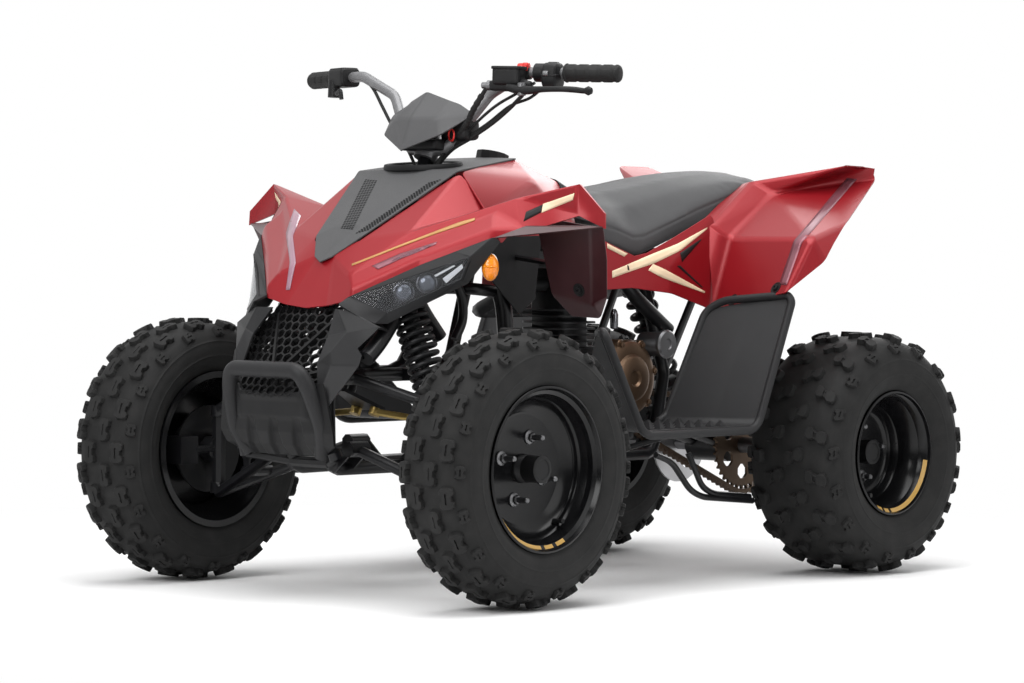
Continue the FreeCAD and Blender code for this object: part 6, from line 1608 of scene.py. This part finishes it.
tail = {
    "points": {
        "front": (0.050, 0.196, 0.818), "frontMiddle": (0.052, 0.0, 0.838),
        "rear": (-0.004, 0.262, 0.776), "rearMiddle": (-0.006, 0.0, 0.796), "low": (0.058, 0.300, 0.742),
        "rearLow": (-0.004, 0.318, 0.728),
    },
    "faces": [
        "frontMiddle front rear rearMiddle", "front low rearLow rear",
    ],
}
# painted shade: the liner is near black, standing for the shade behind the fenders
sheetPair("fender_liner_painted_shade", shadeLiner, "front_flaps", "pan", (0, 1, 0), ("front_flaps",), wall=0.003,
          crease=0.002)
# painted shade: the fairing's underside at its corners in the darker maroon copy of the red
sheetPair("fender_return", fold, "front_flaps", "maroon", (0, 0, -1), ("front_flaps",), wall=0.0025,
          crease=0.002)
sheetPiece("tank_tail", tail, "tank_cover", "black", (0, 0, 1), wall=0.004, crease=0.006)

bolts = {"rear": ("rear", [(733, 300), (776, 288)]), "wing": ("flap", [(579, 290)])}
boltProfile = [(-0.001, 0.002), (-0.001, 0.0135), (0.0012, 0.0135), (0.0014, 0.0118), (0.0006, 0.0110),
               (0.0006, 0.0070), (0.0045, 0.0066), (0.0050, 0.0050), (0.0050, 0.0030), (0.0030, 0.0026),
               (0.0030, 0.0004)]
for name, (skin, pixels) in bolts.items():
    places, normals, hit, lines = castOn(skins[skin], pixels)
    for k in np.flatnonzero(hit):
        grid = turnedGrid(boltProfile, places[k], normals[k], 28)
        hullPair(f"{name}_bolt_{k}", grid, "black", skinNodes[skin])
print("members, liner and bolts made")

# Camera, light and floor

def aimCamera():
    look, right, above = (Vector(axis) for axis in viewAxes())
    camera = bpy.data.objects.new("camera", bpy.data.cameras.new("camera"))
    camera.data.lens, camera.data.sensor_width = view["lens"], view["sensor"]
    camera.data.shift_x = view["shift"]
    camera.matrix_world = Matrix.Translation(view["place"]) @ Matrix((right, above,
                                                                      -look)).transposed().to_4x4()
    bpy.context.scene.collection.objects.link(camera)
    bpy.context.scene.camera = camera


lampTable = {   # place, target, width, power
    "top": ((0.3, 0.6, 3.2), (0.0, 0.0, 0.4), 3.4, 105),
    "front": ((3.8, 0.6, 2.4), (0.3, 0.0, 0.5), 2.4, 95),
    "side": ((0.2, 4.2, 1.8), (0.0, 0.0, 0.5), 2.6, 32),
    "back": ((-3.6, -1.2, 2.4), (0.0, 0.0, 0.5), 2.6, 60),
}


def addLamps():
    for name, (place, target, width, power) in lampTable.items():
        lamp = bpy.data.objects.new("lamp_" + name, bpy.data.lights.new("lamp_" + name, "AREA"))
        lamp.data.shape, lamp.data.size, lamp.data.energy = "DISK", width, power
        lamp.location = place
        lamp.rotation_euler = (Vector(target) - Vector(place)).to_track_quat("-Z", "Y").to_euler()
        bpy.context.scene.collection.objects.link(lamp)


def seenRays(tree, rays):
    # 1 for camera, mirror and glass rays, 0 for those that light the object.
    first, second = sums(tree, "MAXIMUM"), sums(tree, "MAXIMUM")
    join(tree, (rays.outputs["Is Camera Ray"], first.inputs[0]), (rays.outputs["Is Glossy Ray"],
                                                                  first.inputs[1]),
         (first.outputs[0], second.inputs[0]), (rays.outputs["Is Transmission Ray"], second.inputs[1]))
    return second.outputs[0]


# The world lights softly, while the camera sees plain white. Mirror rays meet a dark wall in front of the
# object.
surround = {"light": 0.42, "wall": (0.72, 0.66, -0.20), "shade": (-0.10, 0.55, 1.0, 0.10)}


def whiteSurround():
    world = bpy.data.worlds.new("surround")
    bpy.context.scene.world = world
    world.use_nodes = True
    tree = world.node_tree
    tree.nodes.clear()
    out, white = node(tree, "ShaderNodeOutputWorld"), (1, 1, 1, 1)
    soft = node(tree, "ShaderNodeBackground", {"Color": white, "Strength": surround["light"]})
    plain = node(tree, "ShaderNodeBackground", {"Color": white})
    rays, mix = node(tree, "ShaderNodeLightPath"), node(tree, "ShaderNodeMixShader")
    way = node(tree, "ShaderNodeTexCoord")
    lean = node(tree, "ShaderNodeVectorMath", {1: surround["wall"]}, operation="DOT_PRODUCT")
    reach = dict(zip(("From Min", "From Max", "To Min", "To Max"), surround["shade"]))
    shade = node(tree, "ShaderNodeMapRange", reach, interpolation_type="SMOOTHSTEP")
    straight, level = sums(tree, "MAXIMUM"), sums(tree, "MAXIMUM")
    join(tree, (way.outputs["Generated"], lean.inputs[0]), (lean.outputs["Value"], shade.inputs["Value"]),
         (rays.outputs["Is Camera Ray"], straight.inputs[0]),
         (rays.outputs["Is Transmission Ray"], straight.inputs[1]), (straight.outputs[0], level.inputs[0]),
         (shade.outputs["Result"], level.inputs[1]), (level.outputs[0], plain.inputs["Strength"]),
         (seenRays(tree, rays), mix.inputs["Fac"]), (soft.outputs[0], mix.inputs[1]),
         (plain.outputs[0], mix.inputs[2]), (mix.outputs[0], out.inputs["Surface"]))


floorLook = {"half": 30, "colour": (0.93, 0.93, 0.93, 1), "rough": 0.9, "shine": 0.1, "near": 1.0,
             "far": 2.1}


def addFloor():
    # A wide pale floor that keeps the shadow near the wheels and fades to the surround's white farther off.
    corners = np.array([(-1, -1, 0), (1, -1, 0), (1, 1, 0), (-1, 1, 0)]) * floorLook["half"]
    mesh = bpy.data.meshes.new("floor")
    mesh.from_pydata(corners.tolist(), [], [(0, 1, 2, 3)])
    floor = bpy.data.objects.new("floor", mesh)
    bpy.context.scene.collection.objects.link(floor)
    material = bpy.data.materials.new("paleFloor")
    material.use_nodes = True
    tree = material.node_tree
    shader = tree.nodes["Principled BSDF"]
    shader.inputs["Base Color"].default_value = floorLook["colour"]
    shader.inputs["Roughness"].default_value = floorLook["rough"]
    shader.inputs["Specular IOR Level"].default_value = floorLook["shine"]
    white, place = node(tree, "ShaderNodeEmission"), node(tree, "ShaderNodeTexCoord")
    far, gate = node(tree, "ShaderNodeVectorMath", operation="LENGTH"), sums(tree, "MULTIPLY")
    reach = {"From Min": floorLook["near"], "From Max": floorLook["far"]}
    fade = node(tree, "ShaderNodeMapRange", reach, interpolation_type="SMOOTHSTEP")
    rays, mix = node(tree, "ShaderNodeLightPath"), node(tree, "ShaderNodeMixShader")
    join(tree, (place.outputs["Object"], far.inputs[0]), (far.outputs["Value"], fade.inputs["Value"]),
         (fade.outputs["Result"], gate.inputs[0]), (seenRays(tree, rays), gate.inputs[1]),
         (gate.outputs[0], mix.inputs["Fac"]), (shader.outputs[0], mix.inputs[1]),
         (white.outputs[0], mix.inputs[2]),
         (mix.outputs[0], tree.nodes["Material Output"].inputs["Surface"]))
    mesh.materials.append(material)


aimCamera()
addLamps()
whiteSurround()
addFloor()
bpy.context.scene.view_settings.view_transform = "Standard"
print("camera, lamps and floor set")
